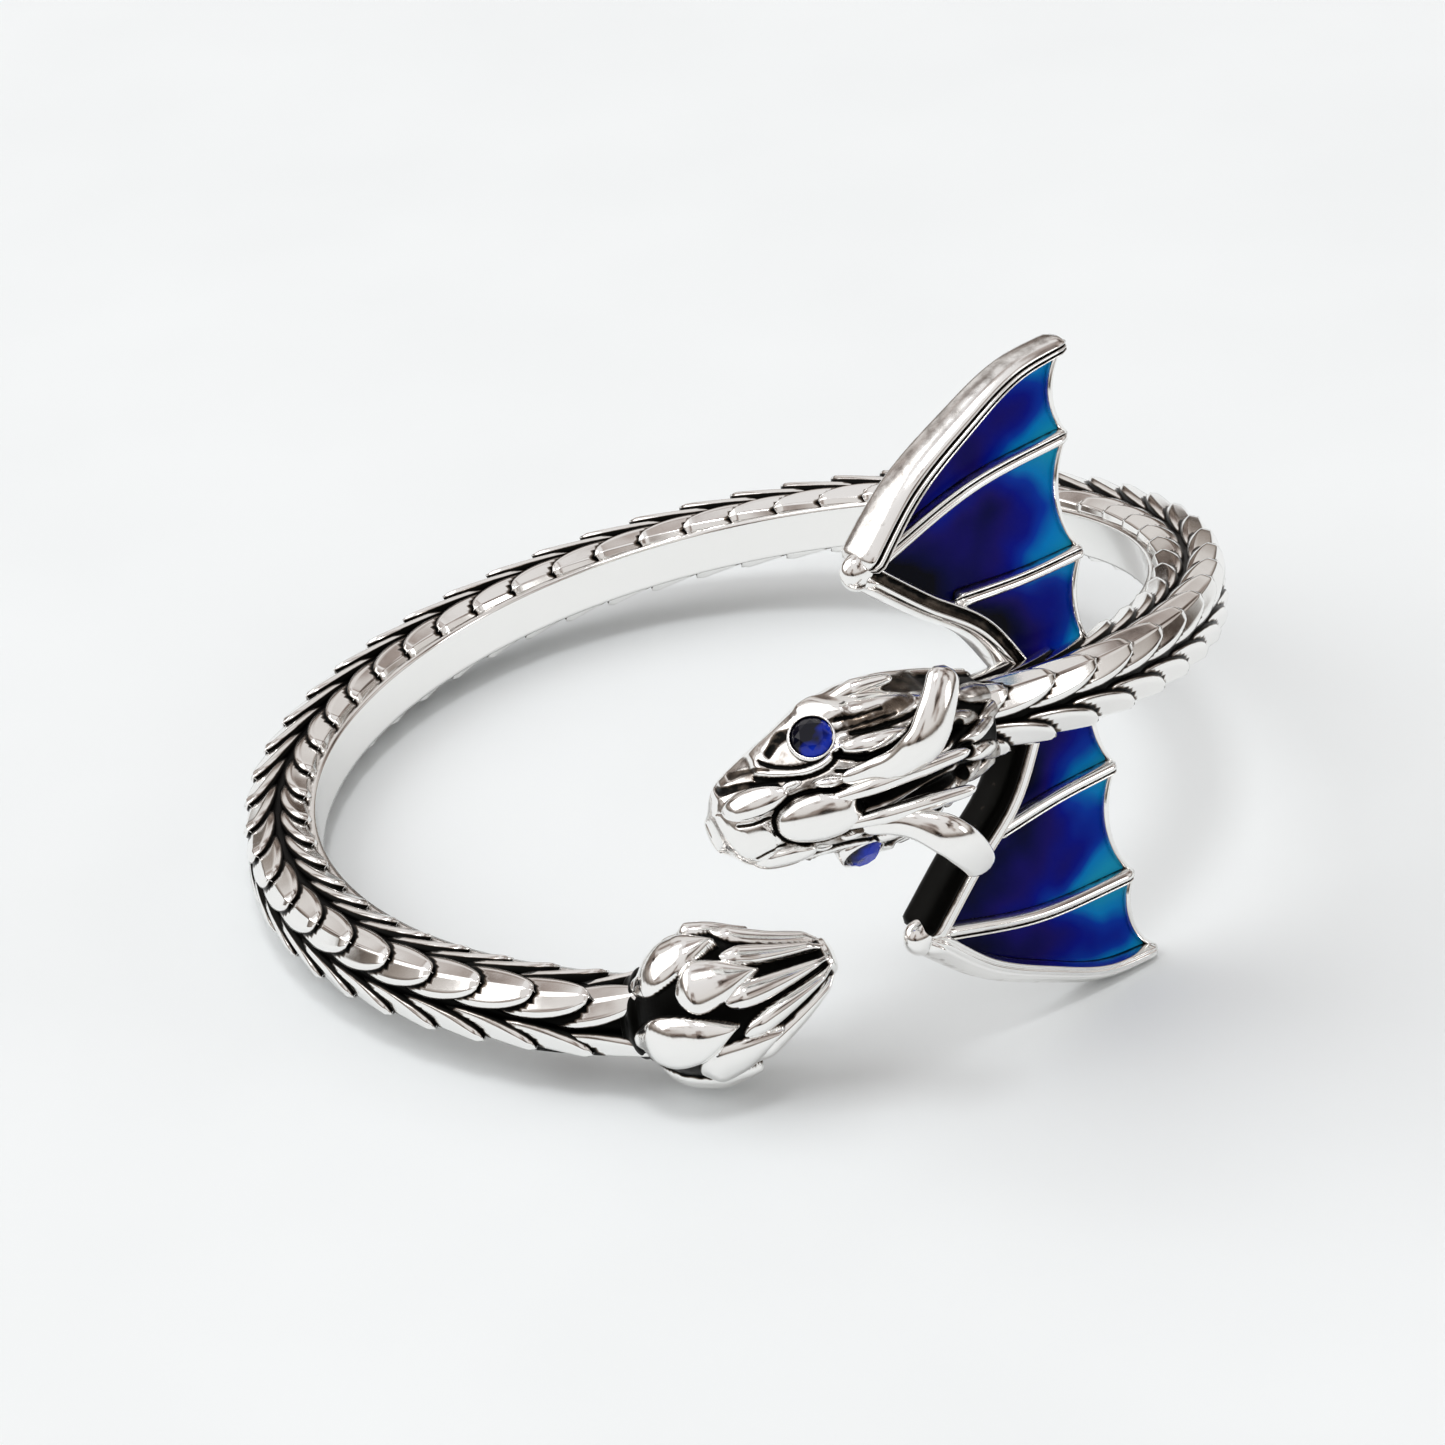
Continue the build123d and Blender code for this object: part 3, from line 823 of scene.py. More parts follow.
@dataclass
class ScaledBand:
    """The band: four rows of oval, folded leaves that overlap towards the bud, and a smooth strip inside.

    Args:
        spine: the line that it follows.
        silver: its finish.
    """

    spine: Spine
    silver: Material
    pitch: float = 1.1
    leaf_length: float = 2.5
    leaf_widest: float = 0.56
    leaf_swell: float = 1.8
    leaf_round: float = 0.55
    leaf_grid: tuple[int, int] = (19, 22)
    leaf_crowding: float = 1.2
    leaf_root: float = 0.4
    heel_taper: float = 0.3
    heel_from: float = 0.6
    rim_from: float = 0.72
    tip_length: float = 0.07
    tip_share: float = 0.6
    # Widths of the dark gap under each leaf's tip, which is patina and painted shadow
    gap_middle: float = 0.11
    gap_widens: float = 0.18
    side_oxide: float = 0.8
    core_drop: float = 0.38
    core_tucks: tuple[float, float] = (0.5, 0.6)
    core_grid: tuple[int, int] = (420, 72)
    scale_tucks: tuple[float, float] = (0.2, 0.35)
    outer_ridge: float = 45.0
    inner_ridge: float = 135.0
    row_half: float = 41.0
    leaf_step: float = 0.33
    keel: float = 0.95
    rim_fall: float = 0.1
    strip_from: float = 139.0
    strip_by: float = 148.0
    bud_twist: float = 6.0
    twist_ends: tuple[float, float] = (8.0, 20.0)

    def bend(self, forward: Array, angle: Array, radius: Array) -> Array:
        """Points of one scale in its own axes, X forwards and Z outwards, bent as the band is.

        Args:
            forward: how far along the band they are.
            angle: how far round the wire they are, in degrees.
            radius: how far from its middle they are.

        Returns:
            The points.
        """
        turn = np.radians(angle)
        out = np.maximum(radius * np.cos(turn), -self.spine.flat_drop)
        reach = self.spine.centre_radius + out
        x = reach * np.sin(forward / self.spine.centre_radius)
        z = reach * np.cos(forward / self.spine.centre_radius) - self.spine.centre_radius
        return np.stack([x, -radius * np.sin(turn), z], axis=-1)

    def leaf(self, ridge: float, hand: Hand, shell: Shell) -> None:
        """Adds an oval leaf that is folded along its ridge; one inside stops at the smooth strip.

        Args:
            ridge: the angle that its ridge lies at, in degrees round the wire.
            hand: the side of the band that it is on.
            shell: where the leaf goes.
        """
        across, along = (np.linspace(low, 1, count) for low, count in zip((-1, 0), self.leaf_grid))
        x, u = np.meshgrid(across, along**self.leaf_crowding)
        share = np.clip(1 - u / self.leaf_widest, 0, 1)
        wide = np.clip(1 - share**self.leaf_swell, LEAST, 1) ** self.leaf_round
        wide = wide * (1 - self.heel_taper * smooth(u, self.heel_from, 1.0))
        turn = x * wide * self.row_half
        inner = self.strip_by - ridge
        if inner < self.row_half:
            turn = np.where(x > 0, x * np.minimum(wide * self.row_half, inner), turn)
        rim = smooth(np.abs(x), self.rim_from, 1.0) * (turn < inner - 1)
        tip = (1 - smooth(u, 0, self.tip_length)) * (1 - rim)
        fold = math.radians(0.5 * self.row_half)
        roof = 1 - math.cos(fold) / np.cos(np.radians(np.minimum(np.abs(turn), self.row_half)) - fold)
        radius = self.spine.wire_radius * (1 - self.keel * roof)
        radius -= self.leaf_step * u + np.maximum(rim, self.tip_share * tip) * self.rim_fall
        angle = hand.value * (ridge + turn)
        forward = u * self.leaf_length
        top = self.bend(forward, angle, radius)
        bottom = self.bend(forward, angle, np.full_like(x, self.spine.wire_radius * self.leaf_root))
        pad(top, bottom, self.leaf_oxide_and_painted_shadow(forward, turn, x) * (turn < inner - 3), shell)

    def leaf_oxide_and_painted_shadow(self, forward: Array, turn: Array, x: Array) -> Array:
        """The dark of a leaf: patina and painted shadow in the gap under the next leaf's rounded tip, and
        oxide down its own sides.

        Args:
            forward: how far along the leaf the places are.
            turn: how far they are from its ridge, in degrees.
            x: their shares of the leaf's half width.

        Returns:
            The oxide and painted shadow, 0 to 1.
        """
        beside = np.clip(np.abs(turn) / self.row_half, 0, 1)
        round_front = 1 - (1 - beside ** (1 / self.leaf_round)) ** (1 / self.leaf_swell)
        # The gap under the next leaf's tip is patina and painted shadow in one.
        ahead = forward - self.pitch - self.leaf_length * self.leaf_widest * round_front
        gap = self.gap_middle + self.gap_widens * beside**2
        return np.maximum(smooth(ahead, -gap, -0.5 * gap), self.side_oxide * smooth(np.abs(x), 0.9, 1.0))

    def segment(self) -> Piece:
        """Makes one pitch of the band's scales.

        Returns:
            The piece, in metres and in its own axes.
        """
        shell = Shell()
        for hand in Hand:
            self.leaf(self.outer_ridge, hand, shell)
            self.leaf(self.inner_ridge, hand, shell)
        return shell.build("scale_segment", self.silver, lambda points: points * MM)

    def core(self) -> Piece:
        """Makes the wire under the scales, whose inside stays smooth and bright.

        Returns:
            The piece.
        """
        spine = self.spine
        rows, columns = self.core_grid
        ends = (spine.bud_length - self.core_tucks[0], spine.head_start + self.core_tucks[1])
        s, angle = around(np.linspace(*ends, rows), columns)
        bright = smooth(np.abs(angle), self.strip_from, self.strip_by)
        point, _, outward, side = spine.read(s)
        radius = spine.wire_radius - self.core_drop * (1 - bright)
        turn = np.radians(angle)
        x = np.maximum(radius * np.cos(turn), -spine.flat_drop)
        y = radius * np.sin(turn)
        shell = Shell()
        tube(point + x[..., None] * outward + y[..., None] * side, 1 - bright, shell)
        return shell.build("band_core", self.silver)

    def seats(self) -> Piece:
        """Makes a point for each pitch of scales.

        Returns:
            The points, with the directions that each pitch is turned to.
        """
        spine = self.spine
        first = spine.bud_length - self.scale_tucks[0]
        count = int((spine.head_start + self.scale_tucks[1] - first) / self.pitch) + 1
        s = first + np.arange(count) * self.pitch
        point, forward, outward, side = spine.read(s)
        turn = np.radians(self.bud_twist * (1 - smooth(s, *self.twist_ends)))[:, None]
        outward = outward * np.cos(turn) + side * np.sin(turn)
        mesh = bpy.data.meshes.new("scale_seats")
        mesh.from_pydata(RING.place(point).tolist(), [], [])
        for name, values in (("forward", RING.aim(forward)), ("outward", RING.aim(outward))):
            layer = mesh.attributes.new(name, "FLOAT_VECTOR", "POINT")
            layer.data.foreach_set("vector", values.astype(np.float32).reshape(-1))
        return put("band_scales", mesh)

    def scale_tree(self, segment: Piece) -> tuple[Tree, str]:
        """Makes the Geometry Nodes that lay a pitch of scales on each seat.

        Args:
            segment: the pitch of scales.

        Returns:
            The tree, and the identifier of its Scale size input.
        """
        tree = bpy.data.node_groups.new("scales along the band", "GeometryNodeTree")
        tree.interface.new_socket("Geometry", in_out="INPUT", socket_type="NodeSocketGeometry")
        scale = tree.interface.new_socket("Scale size", in_out="INPUT", socket_type="NodeSocketFloat")
        tree.interface.new_socket("Geometry", in_out="OUTPUT", socket_type="NodeSocketGeometry")
        ends = add_node(tree, "NodeGroupInput")
        source = add_node(tree, "GeometryNodeObjectInfo", Object=segment)
        outward, forward = (
            add_node(tree, "GeometryNodeInputNamedAttribute", {"data_type": "FLOAT_VECTOR"}, Name=name)
            for name in ("outward", "forward")
        )
        axes = {"primary_axis": "Z", "secondary_axis": "X"}
        laid = add_node(
            tree,
            "GeometryNodeInstanceOnPoints",
            Points=ends.outputs["Geometry"],
            Instance=source.outputs["Geometry"],
            Rotation=add_node(tree, "FunctionNodeAxesToRotation", axes, i0=outward, i1=forward),
            Scale=ends.outputs["Scale size"],
        )
        real = add_node(tree, "GeometryNodeRealizeInstances", Geometry=laid)
        dressed = add_node(tree, "GeometryNodeSetMaterial", Geometry=real, Material=self.silver)
        add_node(tree, "NodeGroupOutput", Geometry=dressed)
        return tree, scale.identifier

    def scales(self) -> Piece:
        """Lays the scales along the band with Geometry Nodes and makes them one plain mesh.

        Returns:
            The piece.
        """
        segment = self.segment()
        seats = self.seats()
        modifier = seats.modifiers.new("scales", "NODES")
        modifier.node_group, size = self.scale_tree(segment)
        modifier[size] = 1.0
        bpy.context.view_layer.update()
        evaluated = seats.evaluated_get(bpy.context.evaluated_depsgraph_get())
        mesh = bpy.data.meshes.new_from_object(evaluated)
        seats.modifiers.clear()
        seats.data = mesh
        mesh.shade_smooth()
        bpy.data.objects.remove(segment)
        return seats

    def build(self) -> list[Piece]:
        """Makes the core and the scales."""
        return [self.core(), self.scales()]


# The tail bud


class Tier(NamedTuple):
    """A whorl of the bud's leaves: its start, length, degrees of half a leaf, height, turn and bluntness."""

    start: float
    length: float
    half: float
    lift: float
    turn: float
    blunt: float


@dataclass
class TailBud:
    """The closed bud at the tail: whorls of five leaves, each between two of the last, meeting at its tip."""

    spine: Spine
    silver: Material
    leaves: int = 5
    tiers: tuple[Tier, ...] = rows_of(
        Tier,
        (-0.05, 1.95, 28.0, 0.26, -3.0, 2.4), (0.98, 1.55, 23.0, 0.24, 36.0, 2.6),
        (1.8, 2.1, 14.0, 0.24, 16.0, 6.0), (1.9, 2.1, 13.0, 0.24, -16.0, 6.0),
    )
    swirl: float = 5.0
    valley: float = 0.16
    foot_length: float = 0.35
    foot_height: float = 0.4
    foot_slope: float = 0.2
    columns: int = 288
    tip_rows: tuple[float, float, int] = (0.004, 0.3, 18)
    body_from: float = 0.32
    body_rows: int = 180
    tuck: float = 0.3
    foot_fade: tuple[float, float] = (-0.15, 0.1)
    tip_fade: tuple[float, float] = (0.02, 0.25)
    tip_clean: tuple[float, float] = (0.02, 0.12)
    black_below: tuple[float, float] = (0.02, 0.09)
    collar_sink: float = 0.2
    collar_ends: tuple[float, float] = (-0.25, 0.0)
    tip_reach: float = 0.12

    def leaf(self, u: Array, turn: Array, tier: Tier) -> Array:
        """The height of a leaf, 0 to 1.

        Args:
            u: the places along it, from 0 at its round foot to 1 at its point.
            turn: their places across it, in degrees.
            tier: the whorl that it is in.

        Returns:
            The height at each place.
        """
        inside = (u > 0) & (u < 1)
        u = np.clip(u, 0, 1)
        foot = np.sqrt(np.clip(1 - (1 - np.clip(u / self.foot_length, 0, 1)) ** 2, 0, 1))
        half = tier.half * foot * (1 - u**tier.blunt) + 0.01
        swell = self.foot_height + (1 - self.foot_height) * smooth(u, 0.0, self.foot_slope)
        return np.where(inside, np.sqrt(np.clip(1 - (turn / half) ** 2, 0, 1)) * swell, 0)

    def relief(self, x: Array, angle: Array) -> Array:
        """Raises the bud's leaves.

        Args:
            x: how far the places are from the bud's base.
            angle: how far round the bud they are, in degrees.

        Returns:
            The height of the leaves there.
        """
        step = 360 / self.leaves
        height = np.zeros_like(x)
        for tier in self.tiers:
            near = (angle - self.swirl * (x - 1) - tier.turn + step / 2) % step - step / 2
            height = np.maximum(height, tier.lift * self.leaf((x - tier.start) / tier.length, near, tier))
        return height

    def build(self) -> list[Piece]:
        """Makes the bud.

        Returns:
            The bud, as the only piece of a list.
        """
        spine = self.spine
        body_rows = np.linspace(self.body_from, spine.bud_length + self.tuck, self.body_rows)
        s, angle = around(np.concatenate([np.linspace(*self.tip_rows), body_rows]), self.columns)
        x = spine.bud_length - s
        lift = self.relief(x, angle)
        fade = smooth(x, *self.foot_fade) * smooth(s, *self.tip_fade)
        sink = self.collar_sink * (1 - smooth(x, *self.collar_ends))
        grid = spine.skin(s, angle, (lift - self.valley) * fade - sink)
        tip = round_off(grid[0], -spine.forwards[0], self.tip_reach)[::-1]
        oxide = (1 - smooth(lift, *self.black_below)) * smooth(s, *self.tip_clean)
        shell = Shell()
        tube(np.concatenate([tip, grid]), np.concatenate([np.zeros(tip.shape[:2]), oxide]), shell)
        return [shell.build("tail_bud", self.silver)]


# The head


class Dome(NamedTuple):
    """A swelling on the head, in millimetres from the neck and the middle line, with its turn in degrees."""

    along: float
    side: float
    half_length: float
    half_width: float
    lift: float
    turn: float


class Stroke(NamedTuple):
    """A line of the head's relief: its places along and sideways, half width, height and oxide, which on two
    strokes is painted shade.
    """

    name: str
    along: tuple[float, ...]
    side: tuple[float, ...]
    wide: float
    lift: float
    oxide: float


class Point(NamedTuple):
    """A point of a horn or a spike, in shares of the head's sizes, and its wire's share."""

    along: float
    side: float
    outer: float
    wire: float


@dataclass
class DragonHead:
    """The head: a blunt snout with nostrils and a nose plate, hooded eyes, horns and crown spikes."""

    spine: Spine
    silver: Material
    domes: tuple[Dome, ...] = rows_of(
        Dome,
        (3.65, 0.0, 0.76, 0.47, 0.22, 0), (4.52, 0.62, 0.58, 0.21, 0.18, -4),
        (5.05, 0.0, 0.55, 0.6, 0.06, 0), (2.32, 0.91, 0.6, 0.15, 0.15, 9),
        (3.26, 0.56, 0.24, 0.09, 0.1, 12), (3.84, 0.72, 0.18, 0.06, 0.06, -10),
        (1.95, 0.56, 0.75, 0.21, 0.16, 0),
    )
    neck_domes: tuple[Dome, ...] = rows_of(
        Dome,
        (0.84, 0.6, 0.42, 0.15, 0.2, 20), (0.52, 0.22, 0.52, 0.17, 0.22, -14),
        (0.26, 0.78, 0.5, 0.16, 0.2, 18), (0.02, 0.45, 0.46, 0.15, 0.2, -8),
        (1.0, 0.02, 0.34, 0.12, 0.14, 0), (1.02, 0.98, 0.34, 0.12, 0.14, 26),
    )
    strokes: tuple[Stroke, ...] = rows_of(
        Stroke,
        ("nose", (4.44, 4.36, 4.08, 3.6, 3.2, 2.9), (0.0, 0.28, 0.48, 0.53, 0.4, 0.14), 0.04, -0.08, 0.9),
        ("nostril crease", (4.95, 4.75, 4.42), (0.36, 0.32, 0.32), 0.03, -0.04, 0.7),
        ("nostril top", (5.0, 4.5, 4.05), (0.86, 0.89, 0.8), 0.04, -0.05, 0.7),
        ("lid crease", (4.3, 3.9, 3.5, 3.15, 2.9), (0.93, 0.82, 0.77, 0.83, 0.98), 0.035, -0.06, 0.9),
        ("lower lid", (4.22, 3.88, 3.5, 3.15, 2.88), (1.0, 0.9, 0.85, 0.91, 1.06), 0.055, 0.05, 0.0),
        ("lid inside", (4.1, 3.85, 3.5, 3.2, 2.95), (1.06, 0.98, 0.93, 0.98, 1.12), 0.03, -0.05, 0.9),
        ("upper lid", (4.15, 3.8, 3.45, 3.0, 2.6), (1.08, 1.27, 1.44, 1.52, 1.4), 0.09, 0.09, 0.0),
        ("upper lid crease", (3.95, 3.6, 3.3), (1.12, 1.28, 1.36), 0.03, -0.04, 0.7),
        ("brow", (3.1, 2.5, 1.95, 1.5), (1.52, 1.44, 1.32, 1.16), 0.15, 0.1, 0.0),
        ("brow crease", (2.62, 2.2, 1.8, 1.45), (1.16, 1.09, 1.04, 1.02), 0.04, -0.08, 0.8),
        ("brow hollow", (1.75, 1.45, 1.15), (1.45, 1.32, 1.25), 0.08, -0.06, 0.6),
        ("cheek crease", (3.0, 2.75, 2.3, 1.9, 1.62), (0.96, 0.81, 0.74, 0.8, 0.92), 0.045, -0.08, 0.9),
        ("curl", (3.1, 2.9, 2.68, 2.58, 2.74), (0.72, 0.64, 0.62, 0.7, 0.77), 0.035, -0.06, 0.9),
        ("curl foot", (3.12, 2.85, 2.55, 2.4), (0.44, 0.42, 0.47, 0.42), 0.035, -0.06, 0.9),
        ("horn foot", (2.45, 2.05, 1.65, 1.3, 0.95), (0.42, 0.36, 0.32, 0.36, 0.5), 0.11, -0.14, 1.0),
        # The temple's oxide is painted shade.
        ("temple", (2.6, 2.05, 1.55), (1.28, 1.2, 1.2), 0.09, -0.05, 0.45),
        ("first streak", (3.0, 2.5, 2.0), (1.36, 1.32, 1.26), 0.022, -0.03, 0.7),
        ("second streak", (2.85, 2.4, 1.85), (1.24, 1.22, 1.14), 0.022, -0.03, 0.7),
        ("snout streak", (4.7, 4.4, 4.05), (0.98, 1.02, 0.98), 0.022, -0.03, 0.6),
        # The muzzle hollow's oxide is painted shade.
        ("muzzle hollow", (3.2, 2.95, 2.72), (0.42, 0.52, 0.56), 0.1, -0.04, 0.5),
        ("crown valley", (2.88, 2.3, 1.6, 0.9), (0.0, 0.0, 0.0, 0.0), 0.19, -0.22, 1.0),
    )
    horn: tuple[Point, ...] = rows_of(
        Point,
        (0.57, 0.3, 0.9, 0.4), (0.484, 0.33, 1.04, 0.55), (0.4, 0.4, 1.25, 0.8),
        (0.331, 0.59, 1.38, 1.05), (0.288, 0.81, 1.34, 1.05), (0.252, 1.02, 1.24, 0.95),
        (0.225, 1.2, 1.11, 0.84),
    )
    crown: tuple[Point, ...] = rows_of(
        Point,
        (0.64, 0.16, 0.89, 0.45), (0.5, 0.18, 1.08, 0.8), (0.36, 0.2, 1.17, 0.85),
        (0.21, 0.22, 1.23, 0.5),
    )
    cheek: tuple[Point, ...] = rows_of(
        Point,
        (0.52, 0.8, 0.16, 0.6), (0.4, 0.88, 0.22, 1.1), (0.29, 0.88, 0.3, 0.5),
    )
    horn_wire: float = 0.74
    spike_wire: float = 0.40
    mouth_angle: float = 108.0
    mouth_depth: float = 0.13
    mouth_half: float = 3.0
    mouth_starts: tuple[float, float] = (2.2, 2.5)
    mouth_ends: tuple[float, float] = (4.4, 4.9)
    # How brown the skin that is not raised is made, and where that starts and ends
    low_brown: float = 0.36
    low_brown_starts: tuple[float, float] = (0.1, 0.3)
    low_brown_ends: tuple[float, float] = (4.3, 4.9)
    clean_above: float = 0.06
    black_below: tuple[float, float] = (0.02, 0.07)
    neck_sink: float = 0.12
    neck_ends: tuple[float, float] = (1.0, 1.25)
    collar_sink: float = 0.28
    collar_ends: tuple[float, float] = (-0.16, 0.04)
    outline_depth: float = 0.03
    outline_reach: float = 1.12
    outline_wide: float = 0.14
    snout_smooths: tuple[float, float] = (0.93, 0.985)
    nose_reach: float = 0.10
    top_ends: tuple[float, float] = (-0.1, 0.12)
    skull_rows: tuple[float, float, int] = (-0.03, 0.9, 216)
    snout_rows: tuple[float, float, int] = (0.904, 0.999, 26)
    columns: int = 380
    stroke_steps: int = 40
    stroke_edges: tuple[float, float] = (0.12, 0.55)
    horn_flat: float = 0.62
    rod_steps: int = 40
    rod_sides: int = 20
    rod_rounding: float = 1.8

    def dome_relief(self, domes: Sequence[Dome], along: Array, side: Array) -> tuple[Array, Array]:
        """The relief of a table of domes.

        Args:
            domes: the table.
            along, side: the places, in millimetres from the neck and from the middle line.

        Returns:
            The height at each place, and how deep the domes' outlines are there, from 0 to 1.
        """
        height = np.zeros_like(along)
        outline = np.zeros_like(along)
        for dome in domes:
            turn = math.radians(dome.turn)
            a, b = along - dome.along, side - dome.side
            u = (a * math.cos(turn) + b * math.sin(turn)) / dome.half_length
            v = (b * math.cos(turn) - a * math.sin(turn)) / dome.half_width
            reach = np.hypot(u, v)
            height = np.maximum(height, dome.lift * np.sqrt(np.clip(1 - reach**2, 0, 1)))
            outline = np.maximum(outline, np.exp(-(((reach - self.outline_reach) / self.outline_wide) ** 2)))
        return height, outline

    def stroke_relief(self, along: Array, side: Array) -> tuple[Array, Array]:
        """Raises the strokes of the carving.

        Args:
            along, side: the places, in millimetres along the head and sideways.

        Returns:
            The height and the oxide of the strokes there.
        """
        height = np.zeros_like(along)
        dark = np.zeros_like(along)
        for stroke in self.strokes:
            gap = np.full_like(along, np.inf)
            for x, y in curve_through(np.stack([stroke.along, stroke.side], axis=-1), self.stroke_steps):
                gap = np.minimum(gap, np.hypot(along - x, side - y))
            share = np.exp(-((gap / stroke.wide) ** 2))
            height += stroke.lift * share
            dark = np.maximum(dark, stroke.oxide * smooth(share, *self.stroke_edges))
        return height, dark

    def skin(self) -> Piece:
        """Makes the head's skin, carved from the neck to the snout.

        Returns:
            The piece.
        """
        spine = self.spine
        shares = np.concatenate([np.linspace(*self.skull_rows), np.linspace(*self.snout_rows)])
        q, angle = around(shares, self.columns)
        s = spine.head_start + q * spine.head_length
        turn = np.radians(angle)
        along = q * spine.head_length
        side = np.abs(spine.section(s)[0] * np.sin(turn))
        domes, outline = self.dome_relief(self.domes, along, side)
        neck, _ = self.dome_relief(self.neck_domes, along, side)
        carved, dark = self.stroke_relief(along, side)
        top = smooth(np.cos(turn), *self.top_ends)
        at_neck = 1 - smooth(along, *self.neck_ends)
        mouth = np.exp(-(((np.abs(angle) - self.mouth_angle) / self.mouth_half) ** 2))
        mouth = mouth * smooth(along, *self.mouth_starts) * (1 - smooth(along, *self.mouth_ends))
        sink = self.neck_sink * at_neck + self.collar_sink * (1 - smooth(along, *self.collar_ends))
        lift = (domes + neck + carved - self.outline_depth * outline * (domes < 0.01)) * top
        lift = lift - sink * np.maximum(top, along < self.collar_ends[1])
        lift = (lift - self.mouth_depth * mouth) * (1 - smooth(q, *self.snout_smooths))
        dark = np.maximum(dark, at_neck * (1 - smooth(neck, *self.black_below)))
        raised = smooth(domes + np.clip(carved, 0, 1), 0.0, self.clean_above)
        # Browner over the skin that no dome or stroke raises, off the middle line and back from the snout.
        low_brown = self.low_brown * (1 - raised) * smooth(side, *self.low_brown_starts)
        low_brown = low_brown * (1 - smooth(along, *self.low_brown_ends))
        points = spine.skin(s, angle, lift)
        nose = round_off(points[-1], spine.forwards[-1], self.nose_reach)
        oxide = np.maximum(np.maximum(dark, low_brown) * top, mouth)
        shell = Shell()
        tube(np.concatenate([points, nose]), np.concatenate([oxide, np.zeros(nose.shape[:2])]), shell)
        return shell.build("dragon_head", self.silver)

    def rod(self, rows: Sequence[Point], hand: Hand, wire: float, flat: float, shell: Shell) -> None:
        """Adds a horn or a spike.

        Args:
            rows: the points that it passes through.
            hand: the side of the head that it is on.
            wire: its width where a row's wire is 1.
            flat: its height as a share of its width.
            shell: where it goes.
        """
        spine, count = self.spine, self.rod_steps
        points = np.array([spine.head_point(row.along, hand.value * row.side, row.outer) for row in rows])
        wires = np.interp(np.linspace(0, 1, count), np.linspace(0, 1, len(rows)), [row.wire for row in rows])
        sizes = round_ends(np.stack([wires, wires * flat], axis=-1) * wire / 2, self.rod_rounding)
        _, _, outward, _ = spine.read(np.array(spine.length - spine.head_length / 2))
        loft(curve_through(points, count), outward, round_profile(self.rod_sides), sizes, shell)

    def build(self) -> list[Piece]:
        """Makes the skin, and the horns and spikes that stand on it.

        Returns:
            The pieces.
        """
        shell = Shell()
        for hand in Hand:
            self.rod(self.horn, hand, self.horn_wire, self.horn_flat, shell)
            self.rod(self.crown, hand, self.spike_wire, 1.0, shell)
            self.rod(self.cheek, hand, self.spike_wire, 1.0, shell)
        return [self.skin(), shell.build("horns_and_spikes", self.silver)]


class CollarRow(NamedTuple):
    """A corner of a setting's section: past the stone in millimetres and in collars, its height and oxide."""

    past: float
    collars: float
    height: float
    oxide: float


